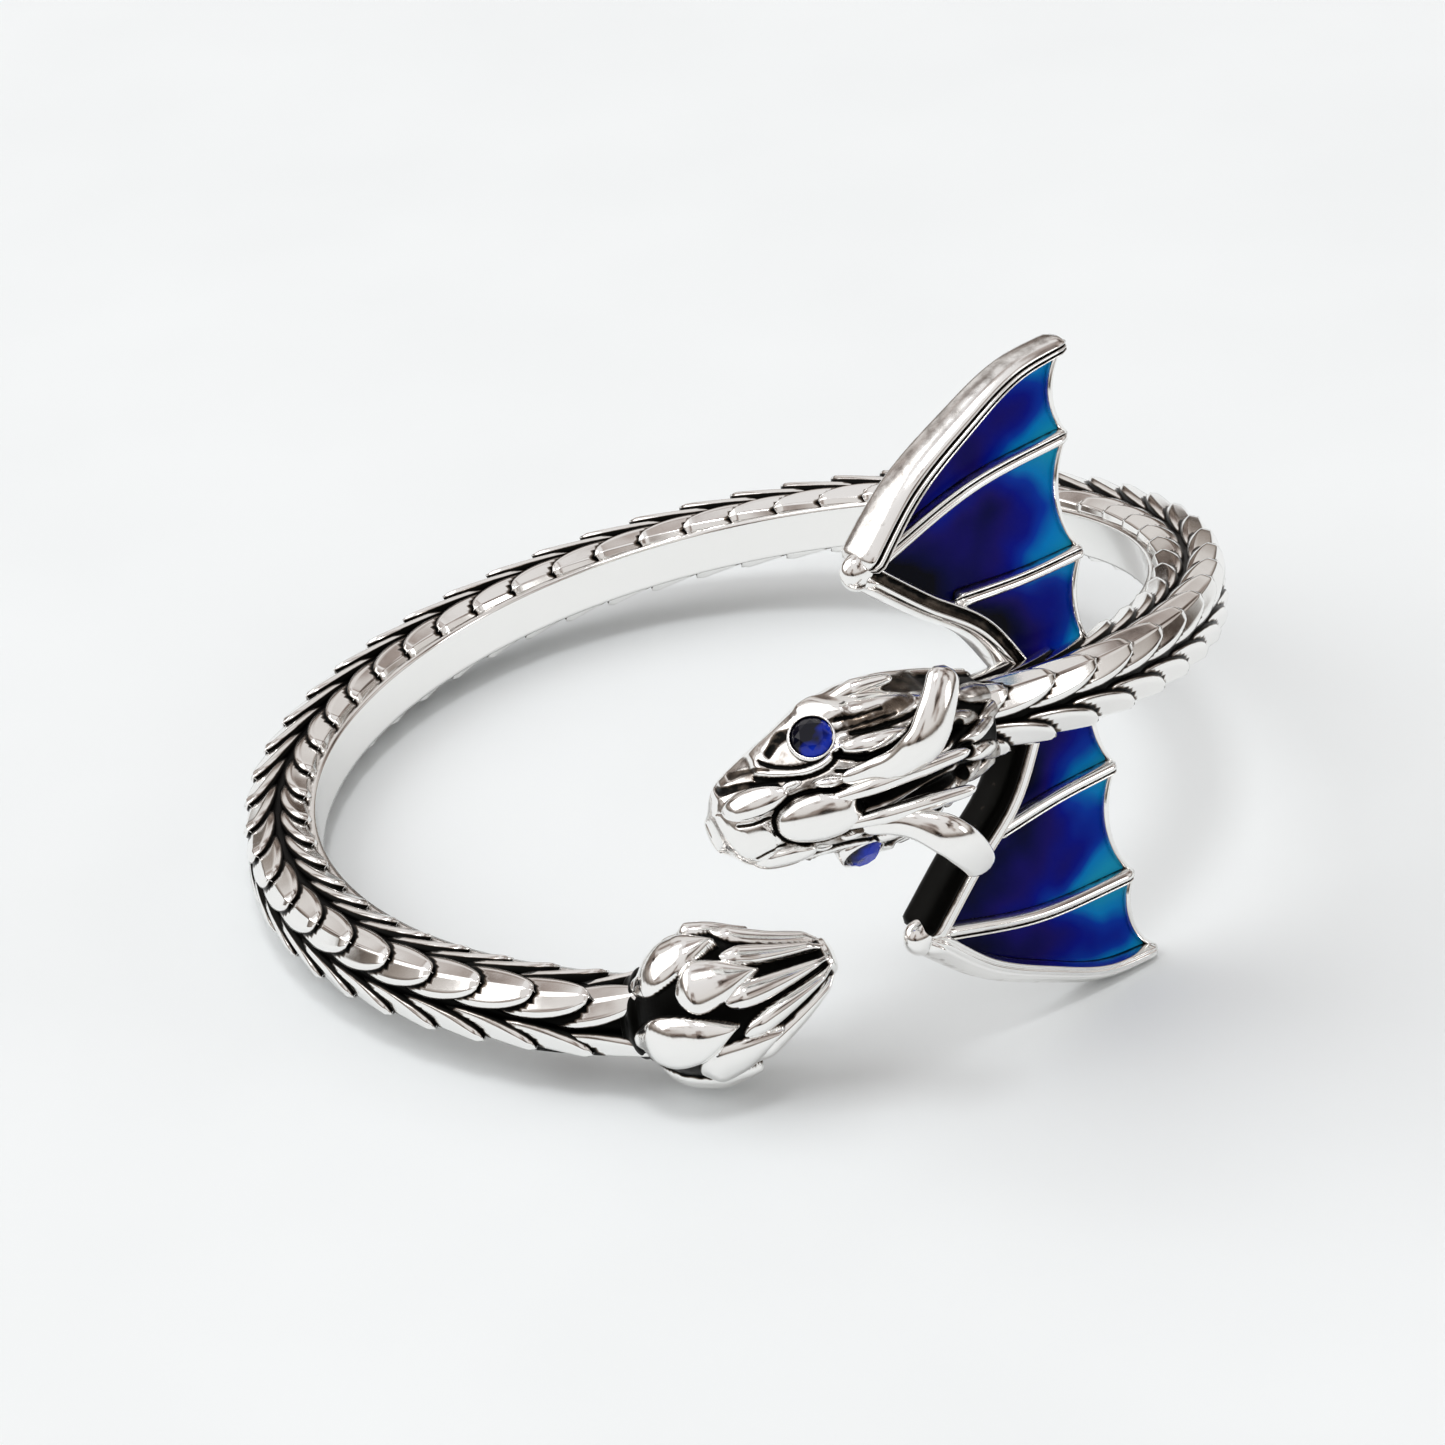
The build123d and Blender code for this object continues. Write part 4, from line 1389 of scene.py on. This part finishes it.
@dataclass
class Eye:
    """A round brilliant-cut stone in a rubbed-over setting."""

    spine: Spine
    hand: Hand
    silver: Material
    stone: Material
    along: float = 0.580
    side: float = 0.743
    outer: float = 0.560
    tilt: float = 44.0
    diameter: float = 0.78
    table: float = 0.46
    crown: float = 0.16
    girdle: float = 0.06
    pavilion: float = 0.26
    facets: int = 8
    star_height: float = 0.6
    deep_ring: float = 0.45
    deep_height: float = 0.6
    # How dark each eye's stone is painted, as a painted reflection of the dark room; the lower eye is painted
    # lighter
    upper_painted_dark: float = 0.4
    lower_painted_dark: float = 0.2
    painted_dark_spread: float = 0.5
    collar: float = 0.085
    collar_columns: int = 40
    collar_rows: tuple[CollarRow, ...] = rows_of(
        CollarRow,
        (-0.06, 0.0, -0.35, 1.0), (0.0, 1.0, -0.4, 0.5), (0.0, 0.9, -0.05, 0.0),
        (0.0, 0.55, 0.03, 0.0), (0.02, 0.0, 0.035, 0.1), (0.006, 0.0, -0.02, 1.0),
    )

    def __post_init__(self) -> None:
        """Works out the girdle's middle, and the directions along, across and out of the stone."""
        s = np.array(self.spine.head_start + self.along * self.spine.head_length)
        _, self.forward, outward, self.sideways = self.spine.read(s)
        tilt = math.radians(self.tilt)
        self.facing = unit(outward * math.cos(tilt) + self.hand.value * self.sideways * math.sin(tilt))
        self.across = np.cross(self.facing, self.forward)
        self.centre = self.spine.head_point(self.along, self.hand.value * self.side, self.outer)
        self.half = self.diameter / 2

    def ring(self, radius: float, height: float, count: int, turn: float = 0.0) -> Array:
        """Places points on a circle about the stone's axis.

        Args:
            radius: the circle's radius.
            height: how far out along the axis it is.
            count: how many points it has.
            turn: how far they are turned, as a share of the step between them.

        Returns:
            The points.
        """
        t = (np.arange(count) + turn)[:, None] * 2 * math.pi / count
        flat = self.forward * radius * np.cos(t) + self.across * radius * np.sin(t)
        return self.centre + flat + self.facing * height

    def stone_faces(self, starts: Sequence[int]) -> list[tuple[int, ...]]:
        """Lays the stone's facets over its rings of points.

        Args:
            starts: the index of each ring's first point.

        Returns:
            The facets, as rows of indices.
        """
        table, star, upper, lower, deep, culet = starts
        rim = 2 * self.facets
        faces = [tuple(range(table, table + self.facets))]
        for i in range(self.facets):
            j = (i + 1) % self.facets
            left, right, after = ((2 * i + step) % rim for step in range(3))
            faces += [(table + i, star + i, table + j), (table + j, star + i, upper + after, star + j)]
            faces += [(star + i, upper + left, upper + right), (star + i, upper + right, upper + after)]
            faces += [(lower + left, deep + i, lower + right), (lower + right, deep + i, lower + after)]
            faces += [(lower + after, deep + i, deep + j), (deep + i, culet, deep + j)]
        following = [(i + 1) % rim for i in range(rim)]
        return faces + [(upper + i, upper + j, lower + j, lower + i) for i, j in enumerate(following)]

    def shade(self, points: Array) -> Array:
        """Shades the stone: its facets on one side mirror the dark side of the room.

        Args:
            points: the places that get the painted shade.

        Returns:
            How dark each of them is.
        """
        # Painted reflection: darker towards one side of the stone, and less dark on the lower eye.
        depth = self.upper_painted_dark if self.hand is Hand.UPPER else self.lower_painted_dark
        towards_painted_dark = 0.45 * self.forward + 0.9 * self.sideways
        return depth + self.painted_dark_spread * (points - self.centre) @ towards_painted_dark / self.half

    def cut_stone(self) -> Piece:
        """Makes the stone: a table, star and kite facets, a girdle, and a pavilion to a point.

        Returns:
            The piece.
        """
        half, facets = self.half, self.facets
        rings = [
            self.ring(self.table / 2, self.crown, facets),
            self.ring((self.table / 2 + half) / 2, self.crown * self.star_height, facets, 0.5),
            self.ring(half, 0.0, 2 * facets),
            self.ring(half, -self.girdle, 2 * facets),
            self.ring(half * self.deep_ring, -self.girdle - self.pavilion * self.deep_height, facets, 0.5),
            self.ring(0.0, -self.girdle - self.pavilion, 1),
        ]
        starts = np.cumsum([0] + [len(ring) for ring in rings[:-1]]).tolist()
        points = np.concatenate(rings)
        shell = Shell()
        # The stone's oxide attribute carries its painted reflection, not oxide.
        shell.add(points, self.stone_faces(starts), self.shade(points))
        piece = shell.build(self.hand.part("eye_brilliant"), self.stone)
        piece.data.shade_flat()
        return piece

    def setting(self) -> Piece:
        """Makes the collar of silver that is rubbed over the stone's edge.

        Returns:
            The piece.
        """
        count, rows = self.collar_columns, self.collar_rows
        radii = [self.half + row.past + row.collars * self.collar for row in rows]
        grid = np.stack([self.ring(radius, row.height, count) for radius, row in zip(radii, rows)])
        last = (len(rows) - 1) * count
        faces = grid_faces(len(rows), count, True)
        faces += [(last + i, last + (i + 1) % count, (i + 1) % count, i) for i in range(count)]
        shell = Shell()
        shell.add(grid, faces, np.repeat([row.oxide for row in rows], count))
        return shell.build(self.hand.part("eye_setting"), self.silver)


# The wings


class WingPoint(NamedTuple):
    """A point of a wing: forwards towards the head and outwards from the neck, as shares of its sizes."""

    forward: float
    out: float


class ProfileRow(NamedTuple):
    """A corner of a bar's section: across towards the enamel, up from it, and its oxide."""

    across: float
    up: float
    oxide: float


def soften(rows: Sequence[ProfileRow], count: int) -> Array:
    """Draws a smooth closed profile through the corners of a section.

    Args:
        rows: the corners.
        count: how many points the profile has.

    Returns:
        Columns across, up and oxide.
    """
    corners = np.array(rows)
    turns = np.arange(-2, len(corners) + 3)
    closed = corners[turns % len(corners)]
    reads = np.linspace(0, len(corners), count, endpoint=False)
    profile = np.stack([through(turns, column, reads) for column in closed.T], axis=-1)
    profile[:, 2] = np.clip(profile[:, 2], 0, 1)
    return profile


def arc_through(start: Array, middle: Array, end: Array, count: int) -> Array:
    """Draws the arc of a circle through three points of a plane.

    Args:
        start, middle, end: the three points.
        count: how many points the arc has.

    Returns:
        The arc's points, from start to end.
    """
    a, b = middle - start, end - start
    cross = 2 * (a[0] * b[1] - a[1] * b[0])
    centre = start + np.array([b[1] * (a @ a) - a[1] * (b @ b), a[0] * (b @ b) - b[0] * (a @ a)]) / cross
    first, halfway, last = (math.atan2(*(point - centre)[::-1]) for point in (start, middle, end))
    span = (last - first) % (2 * math.pi)
    if (halfway - first) % (2 * math.pi) > span:
        span -= 2 * math.pi
    turns = first + np.linspace(0, span, count)
    return centre + np.hypot(*(start - centre)) * np.stack([np.cos(turns), np.sin(turns)], axis=-1)


@dataclass
class Wing:
    """A wing: cast bars and ribs over a plate, with three cells of enamel between them."""

    spine: Spine
    hand: Hand
    silver: Material
    enamel: Material
    angle: float = -56.7
    inset: float = 0.58
    setback: float = 0.51
    rise: float = -0.16
    length: float = 5.75
    span: float = 6.35
    plate: float = 0.45
    plate_top: float = -0.13
    plate_inset: float = 0.012
    plate_bevels: tuple[float, float] = (0.06, 0.02)
    arm: tuple[WingPoint, ...] = rows_of(
        WingPoint,
        (0.61, 0.6), (0.4, 0.432), (0.195, 0.285), (0.04, 0.07),
    )
    lead: tuple[WingPoint, ...] = rows_of(
        WingPoint,
        (0.61, 0.6), (0.38, 0.785), (0.141, 0.901), (-0.105, 0.993), (-0.352, 1.016),
    )
    upper_rib: tuple[WingPoint, ...] = rows_of(
        WingPoint,
        (0.55, 0.61), (0.127, 0.71), (-0.301, 0.735),
    )
    lower_rib: tuple[WingPoint, ...] = rows_of(
        WingPoint,
        (0.26, 0.385), (-0.03, 0.362), (-0.292, 0.36),
    )
    notches: tuple[WingPoint, ...] = rows_of(
        WingPoint,
        (-0.262, 0.848), (-0.226, 0.52), (-0.232, 0.195),
    )
    root_back: WingPoint = WingPoint(-0.270, 0.045)
    root_out: float = 0.05
    cell_rows: int = 49
    cell_columns: int = 33
    bar_steps: int = 48
    bar_sides: int = 60
    bar_rounding: float = 1.2
    enamel_drop: float = 0.03
    enamel_dip: float = 0.07
    dip_slope: float = 0.3
    enamel_gap: float = 0.005
    rim_height: float = -0.09
    rim_sizes: tuple[float, float] = (0.065, 0.13)
    knuckle_radius: float = 0.37
    knuckle_height: float = 0.29
    knuckle_sink: float = 0.06
    # Painted shade on the outer face of the lower wing's arm
    lower_side_painted_shade: float = 0.78
    lower_face_painted_shade: float = 0.92
    lower_arm_edge: float = 0.36
    lower_lead_edge: float = 0.38
    lead_profile: tuple[ProfileRow, ...] = rows_of(
        ProfileRow,
        (-0.24, -0.52, 0.3), (-0.31, -0.18, 0.3), (-0.27, 0.12, 0.25), (-0.16, 0.3, 0.1),
        (-0.07, 0.37, 0.0), (-0.03, 0.32, 1.0), (0.0, 0.33, 0.8), (0.03, 0.41, 0.0), (0.08, 0.41, 0.0),
        (0.11, 0.34, 1.0), (0.14, 0.35, 0.8), (0.17, 0.41, 0.0), (0.22, 0.34, 0.0), (0.25, 0.12, 0.1),
        (0.25, -0.1, 0.9), (0.2, -0.52, 1.0),
    )
    arm_profile: tuple[ProfileRow, ...] = rows_of(
        ProfileRow,
        (-0.22, -0.55, 0.9), (-0.28, -0.1, 0.3), (-0.24, 0.18, 0.0), (-0.14, 0.31, 0.0),
        (-0.06, 0.33, 0.1), (-0.02, 0.28, 0.5), (0.05, 0.24, 0.62), (0.13, 0.24, 0.7), (0.17, 0.32, 0.2),
        (0.21, 0.3, 0.0), (0.25, 0.1, 0.2), (0.25, -0.12, 0.9), (0.2, -0.55, 1.0),
    )
    rib_profile: tuple[ProfileRow, ...] = rows_of(
        ProfileRow,
        (-0.15, -0.25, 1.0), (-0.17, 0.04, 0.3), (-0.14, 0.16, 0.0), (-0.1, 0.18, 0.1),
        (-0.07, 0.12, 1.0), (-0.04, 0.19, 0.1), (0.03, 0.22, 0.0), (0.11, 0.17, 0.0), (0.16, 0.04, 0.3),
        (0.15, -0.25, 1.0),
    )

    def __post_init__(self) -> None:
        """Works out the wing's plane."""
        turn = math.radians(self.angle)
        self.outward = np.array([math.cos(turn), math.sin(turn), 0.0])
        self.forward = np.array([math.sin(turn), -math.cos(turn), 0.0])
        neck = self.spine.at_turn(np.array(self.spine.rows[0].angle - self.angle))
        self.centre = neck - self.outward * self.inset - self.forward * self.setback
        self.centre = self.centre + np.array([0.0, 0.0, self.rise])

    def flat(self, rows: Sequence[WingPoint]) -> Array:
        """Places in the wing's plane, in millimetres forwards and outwards."""
        return np.array([(row.forward * self.length, row.out * self.span) for row in rows])

    def lift(self, flat: Array, height: Array | float) -> Array:
        """Lifts places of the wing's plane.

        Args:
            flat: the places.
            height: how far each is lifted.

        Returns:
            The points.
        """
        height = np.broadcast_to(height, flat.shape[:-1])[..., None]
        up = np.array([0.0, 0.0, float(self.hand.value)])
        return self.centre + flat[..., :1] * self.forward + flat[..., 1:] * up + height * self.outward

    def bar(
        self,
        rows: Sequence[WingPoint],
        profile: Sequence[ProfileRow],
        inward: int,
        taper: float,
        shell: Shell,
    ) -> None:
        """Adds a bar.

        Args:
            rows: the points that it passes through.
            profile: the corners of its section.
            inward: 1 or -1, which turns the profile's across side to the enamel.
            taper: its size at the far end, as a share of that at the near one.
            shell: where it goes.
        """
        path = self.lift(curve_through(self.flat(rows), self.bar_steps), 0.0)
        section = soften(profile, self.bar_sides)
        section[:, 0] *= inward * self.hand.value
        shares = np.linspace(1.0, taper, len(path))
        sizes = round_ends(np.stack([shares, shares], axis=-1), self.bar_rounding)
        loft(path, self.outward, section, sizes, shell)

    def arcs(self) -> list[Array]:
        """Draws the three hollow arcs of the trailing edge.

        Returns:
            The arcs, from the tip to the root.
        """
        ends = self.flat((self.lead[-1], self.upper_rib[-1], self.lower_rib[-1], self.root_back))
        middles = self.flat(self.notches)
        return [arc_through(a, b, c, self.cell_columns) for a, b, c in zip(ends[:-1], middles, ends[1:])]

    def back_plate(self, shell: Shell) -> None:
        """Adds the plate that carries the enamel, plain and bright behind.

        Args:
            shell: where it goes.
        """
        arm = curve_through(self.flat(self.arm), self.cell_columns)
        lead = curve_through(self.flat(self.lead), self.cell_rows)
        outline = np.concatenate([arm[::-1], lead[1:]] + [arc[1:] for arc in self.arcs()])
        inner = outline + (outline.mean(axis=0) - outline) * self.plate_inset
        bottom, top = -self.plate, self.plate_top
        low_bevel, high_bevel = self.plate_bevels
        levels = ((inner, bottom), (outline, bottom + low_bevel), (outline, top - high_bevel), (inner, top))
        grid = np.stack([self.lift(flat, height) for flat, height in levels])
        tube(grid, np.zeros(grid.shape[:2]), shell)

    def trailing_rims(self, shell: Shell) -> None:
        """Adds the thin bright rim of each hollow arc.

        Args:
            shell: where the rims go.
        """
        for arc in self.arcs():
            path = self.lift(arc, self.rim_height)
            loft(path, self.outward, round_profile(12), np.tile(self.rim_sizes, (len(path), 1)), shell)

    def knuckle(self, shell: Shell) -> None:
        """Adds the round knuckle where the arm meets the leading bar.

        Args:
            shell: where it goes.
        """
        turn, rise = np.meshgrid(np.linspace(0, 2 * math.pi, 40, endpoint=False), np.linspace(-1.2, 1.5, 18))
        circle = np.stack([np.cos(turn), np.sin(turn)], axis=-1) * self.knuckle_radius
        height = self.knuckle_height * np.sin(rise) - self.knuckle_sink
        grid = self.lift(self.flat(self.lead[:1])[0] + circle * np.cos(rise)[..., None], height)
        tube(grid, np.zeros(turn.shape), shell)

    def arm_section(self) -> list[ProfileRow]:
        """Shapes the arm, whose outer face below the neck is painted dark as painted shade and its edge by
        the enamel bright.

        Returns:
            The corners of its profile.
        """
        if self.hand is Hand.UPPER:
            return list(self.arm_profile)
        rows = []
        for row in self.arm_profile:
            if row.across < -0.01:
                # The lower arm's outer face gets painted shade in place of its oxide.
                oxide = self.lower_side_painted_shade if row.across < -0.23 else self.lower_face_painted_shade
                rows.append(row._replace(oxide=oxide))
            else:
                up = max(row.up, self.lower_arm_edge) if row.up > 0.2 else row.up
                rows.append(row._replace(up=up, oxide=0.0))
        return rows

    def lead_section(self) -> list[ProfileRow]:
        """Shapes the leading bar, which is smooth below the neck, without its dark grooves.

        Returns:
            The corners of its profile.
        """
        if self.hand is Hand.UPPER:
            return list(self.lead_profile)
        return [
            row._replace(up=max(row.up, self.lower_lead_edge), oxide=0.0) if row.up > 0.31 else row
            for row in self.lead_profile
        ]

    def frame_piece(self) -> Piece:
        """Makes the silver of the wing.

        Returns:
            The piece.
        """
        shell = Shell()
        self.knuckle(shell)
        self.back_plate(shell)
        self.trailing_rims(shell)
        for rows, profile, inward, taper in (
            (self.upper_rib, self.rib_profile, 1, 0.9),
            (self.lower_rib, self.rib_profile, 1, 0.9),
            (self.arm, self.arm_section(), -1, 0.95),
            (self.lead, self.lead_section(), 1, 0.62),
        ):
            self.bar(rows, profile, inward, taper, shell)
        return shell.build(self.hand.part("wing_frame"), self.silver)

    def cell(self, near: Array, far: Array, front: Array, back: Array) -> tuple[Array, Array]:
        """A patch between four edges.

        Args:
            near, far: the long edges, from the front to the trailing edge.
            front, back: the short edges, from near to far.

        Returns:
            The places in the wing's plane, and the share along and across at each.
        """
        t = np.linspace(0, 1, len(near))[:, None, None]
        w = np.linspace(0, 1, len(front))[None, :, None]
        ruled = (1 - w) * near[:, None] + w * far[:, None] + (1 - t) * front[None] + t * back[None]
        corners = (1 - t) * (1 - w) * near[0] + (1 - t) * w * far[0]
        corners = corners + t * (1 - w) * near[-1] + t * w * far[-1]
        return ruled - corners, np.concatenate(np.broadcast_arrays(t, w), axis=-1)

    def cells(self) -> list[tuple[Array, Array, Array, Array]]:
        """Draws the edges of the three cells.

        Returns:
            The near, far, front and back edge of each cell, from the tip to the root.
        """
        rows, columns = self.cell_rows, self.cell_columns
        tip_arc, middle_arc, root_arc = self.arcs()
        bars = (self.lead, self.upper_rib, self.lower_rib)
        lead, upper, lower = (curve_through(self.flat(bar), rows) for bar in bars)
        arm = curve_through(self.flat(self.arm), 200)
        root_out = self.root_out * self.span
        elbow, meet = (int(np.argmin(np.linalg.norm(arm - rib[0], axis=1))) for rib in (upper, lower))
        root = int(np.argmin(np.abs(arm[:, 1] - root_out)))
        back_root = curve_through(root_arc[root_arc[:, 1] > root_out], columns)
        long_edges = (lead, upper, lower, np.linspace(arm[root], back_root[-1], rows))
        along_arm = np.vstack([upper[:1], arm[elbow + 4 : meet : 8], lower[:1]])
        fronts = (
            np.linspace(lead[0], upper[0], columns),
            curve_through(along_arm, columns),
            curve_through(arm[meet : root + 1 : 6], columns),
        )
        backs = (curve_through(tip_arc, columns), curve_through(middle_arc, columns), back_root)
        return list(zip(long_edges, long_edges[1:], fronts, backs))

    def enamels(self) -> list[Piece]:
        """Makes the three fills of enamel, which dip a little between their bars.

        Returns:
            The pieces.
        """
        fills = []
        for number, edges in enumerate(self.cells(), 1):
            flat, shares = self.cell(*edges)
            t, w = shares[..., 0], shares[..., 1]
            edge = np.minimum(np.minimum(w, 1 - w), t)
            height = -self.enamel_drop - self.enamel_dip * smooth(edge, 0.0, self.dip_slope)
            shell = Shell()
            slab(self.lift(flat, height), self.lift(flat, self.plate_top + self.enamel_gap), shares, shell)
            piece = shell.build(self.hand.part(f"enamel_fill_{number}"), self.enamel)
            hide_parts(self.hand.part(f"wing_enamel_{number}"))
            fills.append(piece)
        return fills


# The studio


class SoftBox(NamedTuple):
    """A soft box that faces the ring: its name, its place and size in metres, and its power in watts."""

    name: str
    place: tuple[float, float, float]
    size: tuple[float, float]
    power: float


@dataclass(frozen=True)
class Studio:
    """The camera, the table and the lights.

    The camera's place is given about the ring's middle: degrees above the ring's plane and rolled, and how
    far away it is, with the small shift that frames the ring as in the photograph.
    """

    elevation: float = 23.684
    roll: float = -10.513
    distance: float = 109.759
    shift_right: float = 0.0814
    shift_up: float = 0.2032
    lens: float = 132.35
    table_half: float = 0.6
    room: float = 1.07
    room_patchiness: float = 2.4
    room_sky: tuple[tuple[float, str], ...] = (
        (0.0, "#C9C7C4"), (0.05, "#4A4038"), (0.16, "#978D85"), (0.28, "#D6D2CF"), (1.0, "#E4E2E2"),
    )
    room_patches: tuple[tuple[float, str], ...] = ((0.36, "#3A2D25"), (0.44, "#B9ACA5"), (0.51, "#FFFFFF"))
    boxes: tuple[SoftBox, ...] = rows_of(
        SoftBox,
        ("key_softbox", (-0.62, 0.1, 0.58), (0.8, 0.8), 3.3),
        ("ceiling_panel", (0.0, -0.14, 0.75), (0.16, 0.16), 1.0),
        ("window", (0.7, -0.27, 0.25), (0.2, 0.24), 0.5),
    )

    def camera(self) -> None:
        """Adds the camera."""
        tilt, roll = math.radians(self.elevation), math.radians(self.roll)
        back = np.array([0.0, -math.cos(tilt), math.sin(tilt)])
        level = np.array([1.0, 0.0, 0.0])
        rise = np.cross(back, level)
        right = math.cos(roll) * level + math.sin(roll) * rise
        up = -math.sin(roll) * level + math.cos(roll) * rise
        place = RING.place(self.distance * back - self.shift_right * right - self.shift_up * up)
        data = bpy.data.cameras.new("camera")
        data.lens = self.lens
        data.sensor_width = 36.0
        data.clip_start = 0.001
        camera = put("camera", data)
        camera.matrix_world = matrix_of(RING.aim(np.stack([right, up, back])), place)
        bpy.context.scene.camera = camera

    def table(self) -> None:
        """Adds the sheet of paper that the ring lies on."""
        half = self.table_half
        mesh = bpy.data.meshes.new("table_paper")
        corners = [(-half, -half, 0), (half, -half, 0), (half, half, 0), (-half, half, 0)]
        mesh.from_pydata(corners, [], [(0, 1, 2, 3)])
        mesh.materials.append(PalePaper().build())
        put("table_paper", mesh)

    def light(self, box: SoftBox) -> None:
        """Adds a soft box that faces the ring.

        Args:
            box: the soft box.
        """
        data = bpy.data.lights.new(box.name, "AREA")
        data.shape = "RECTANGLE"
        data.size, data.size_y = box.size
        data.energy = box.power
        facing = unit(np.array(box.place))
        side = unit(np.cross(np.array([0.0, 0.0, 1.0]), facing))
        put(box.name, data).matrix_world = matrix_of((side, np.cross(facing, side), facing), box.place)

    def surroundings(self) -> None:
        """Gives the room that the silver mirrors: a pale ceiling, darker walls and patches of brown."""
        world = bpy.data.worlds.new("studio")
        world.use_nodes = True
        tree = world.node_tree
        tree.nodes.clear()
        ray = add_node(tree, "ShaderNodeTexCoord").outputs["Generated"]
        height = add_node(tree, "ShaderNodeSeparateXYZ", Vector=ray).outputs["Z"]
        rise = add_node(tree, "ShaderNodeMapRange", Value=height, From_Min=0.0, From_Max=1.0)
        sky = add_node(tree, RAMP, {"stops": self.room_sky}, Fac=rise)
        patch = add_node(tree, NOISE, Vector=ray, Scale=self.room_patchiness, Detail=2.0)
        tint = add_node(tree, RAMP, {"stops": self.room_patches}, Fac=patch)
        multiply = {"data_type": "RGBA", "blend_type": "MULTIPLY"}
        room = add_node(tree, "ShaderNodeMix", multiply, i0=1.0, i6=sky, i7=tint)
        background = add_node(tree, "ShaderNodeBackground", Color=room.outputs[2], Strength=self.room)
        add_node(tree, "ShaderNodeOutputWorld", Surface=background)
        bpy.context.scene.world = world
        bpy.context.scene.view_settings.view_transform = "Standard"

    def build(self) -> None:
        """Sets up the studio."""
        self.camera()
        self.table()
        self.surroundings()
        for box in self.boxes:
            self.light(box)


def ride_as(pieces: Sequence[Piece]) -> None:
    """Says that these pieces ride with the ring.

    Args:
        pieces: the pieces.
    """
    for piece in pieces:
        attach(piece, BODY)


def ride_as_casting(pieces: Sequence[Piece]) -> None:
    """Says that these pieces stand for the casting, whose part it hides, and ride with the ring.

    Args:
        pieces: the pieces.
    """
    for piece in pieces:
        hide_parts(CASTING)
    ride_as(pieces)


def report(pieces: Sequence[Piece]) -> None:
    """Logs the name and the number of faces of each piece."""
    for piece in pieces:
        log.info("%s: %d faces", piece.name, len(piece.data.polygons))


def main() -> None:
    """Builds the studio and then the ring, piece by piece."""
    logging.basicConfig(level=logging.INFO, format="%(name)s: %(message)s")
    Studio().build()
    silver, enamel, stone = (finish().build() for finish in (CastSterlingSilver, VitreousEnamel, BlueStone))
    for assembly in (ScaledBand(SPINE, silver), TailBud(SPINE, silver), DragonHead(SPINE, silver)):
        pieces = assembly.build()
        ride_as_casting(pieces)
        report(pieces)
    for hand in Hand:
        wing = Wing(SPINE, hand, silver, enamel)
        eye = Eye(SPINE, hand, silver, stone)
        cast = [wing.frame_piece(), eye.setting()]
        ride_as_casting(cast)
        fills = wing.enamels()
        ride_as(fills)
        gem = eye.cut_stone()
        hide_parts(hand.part("eye_stone"))
        ride_as([gem])
        report(cast + fills + [gem])


if __name__ == "__main__":
    main()
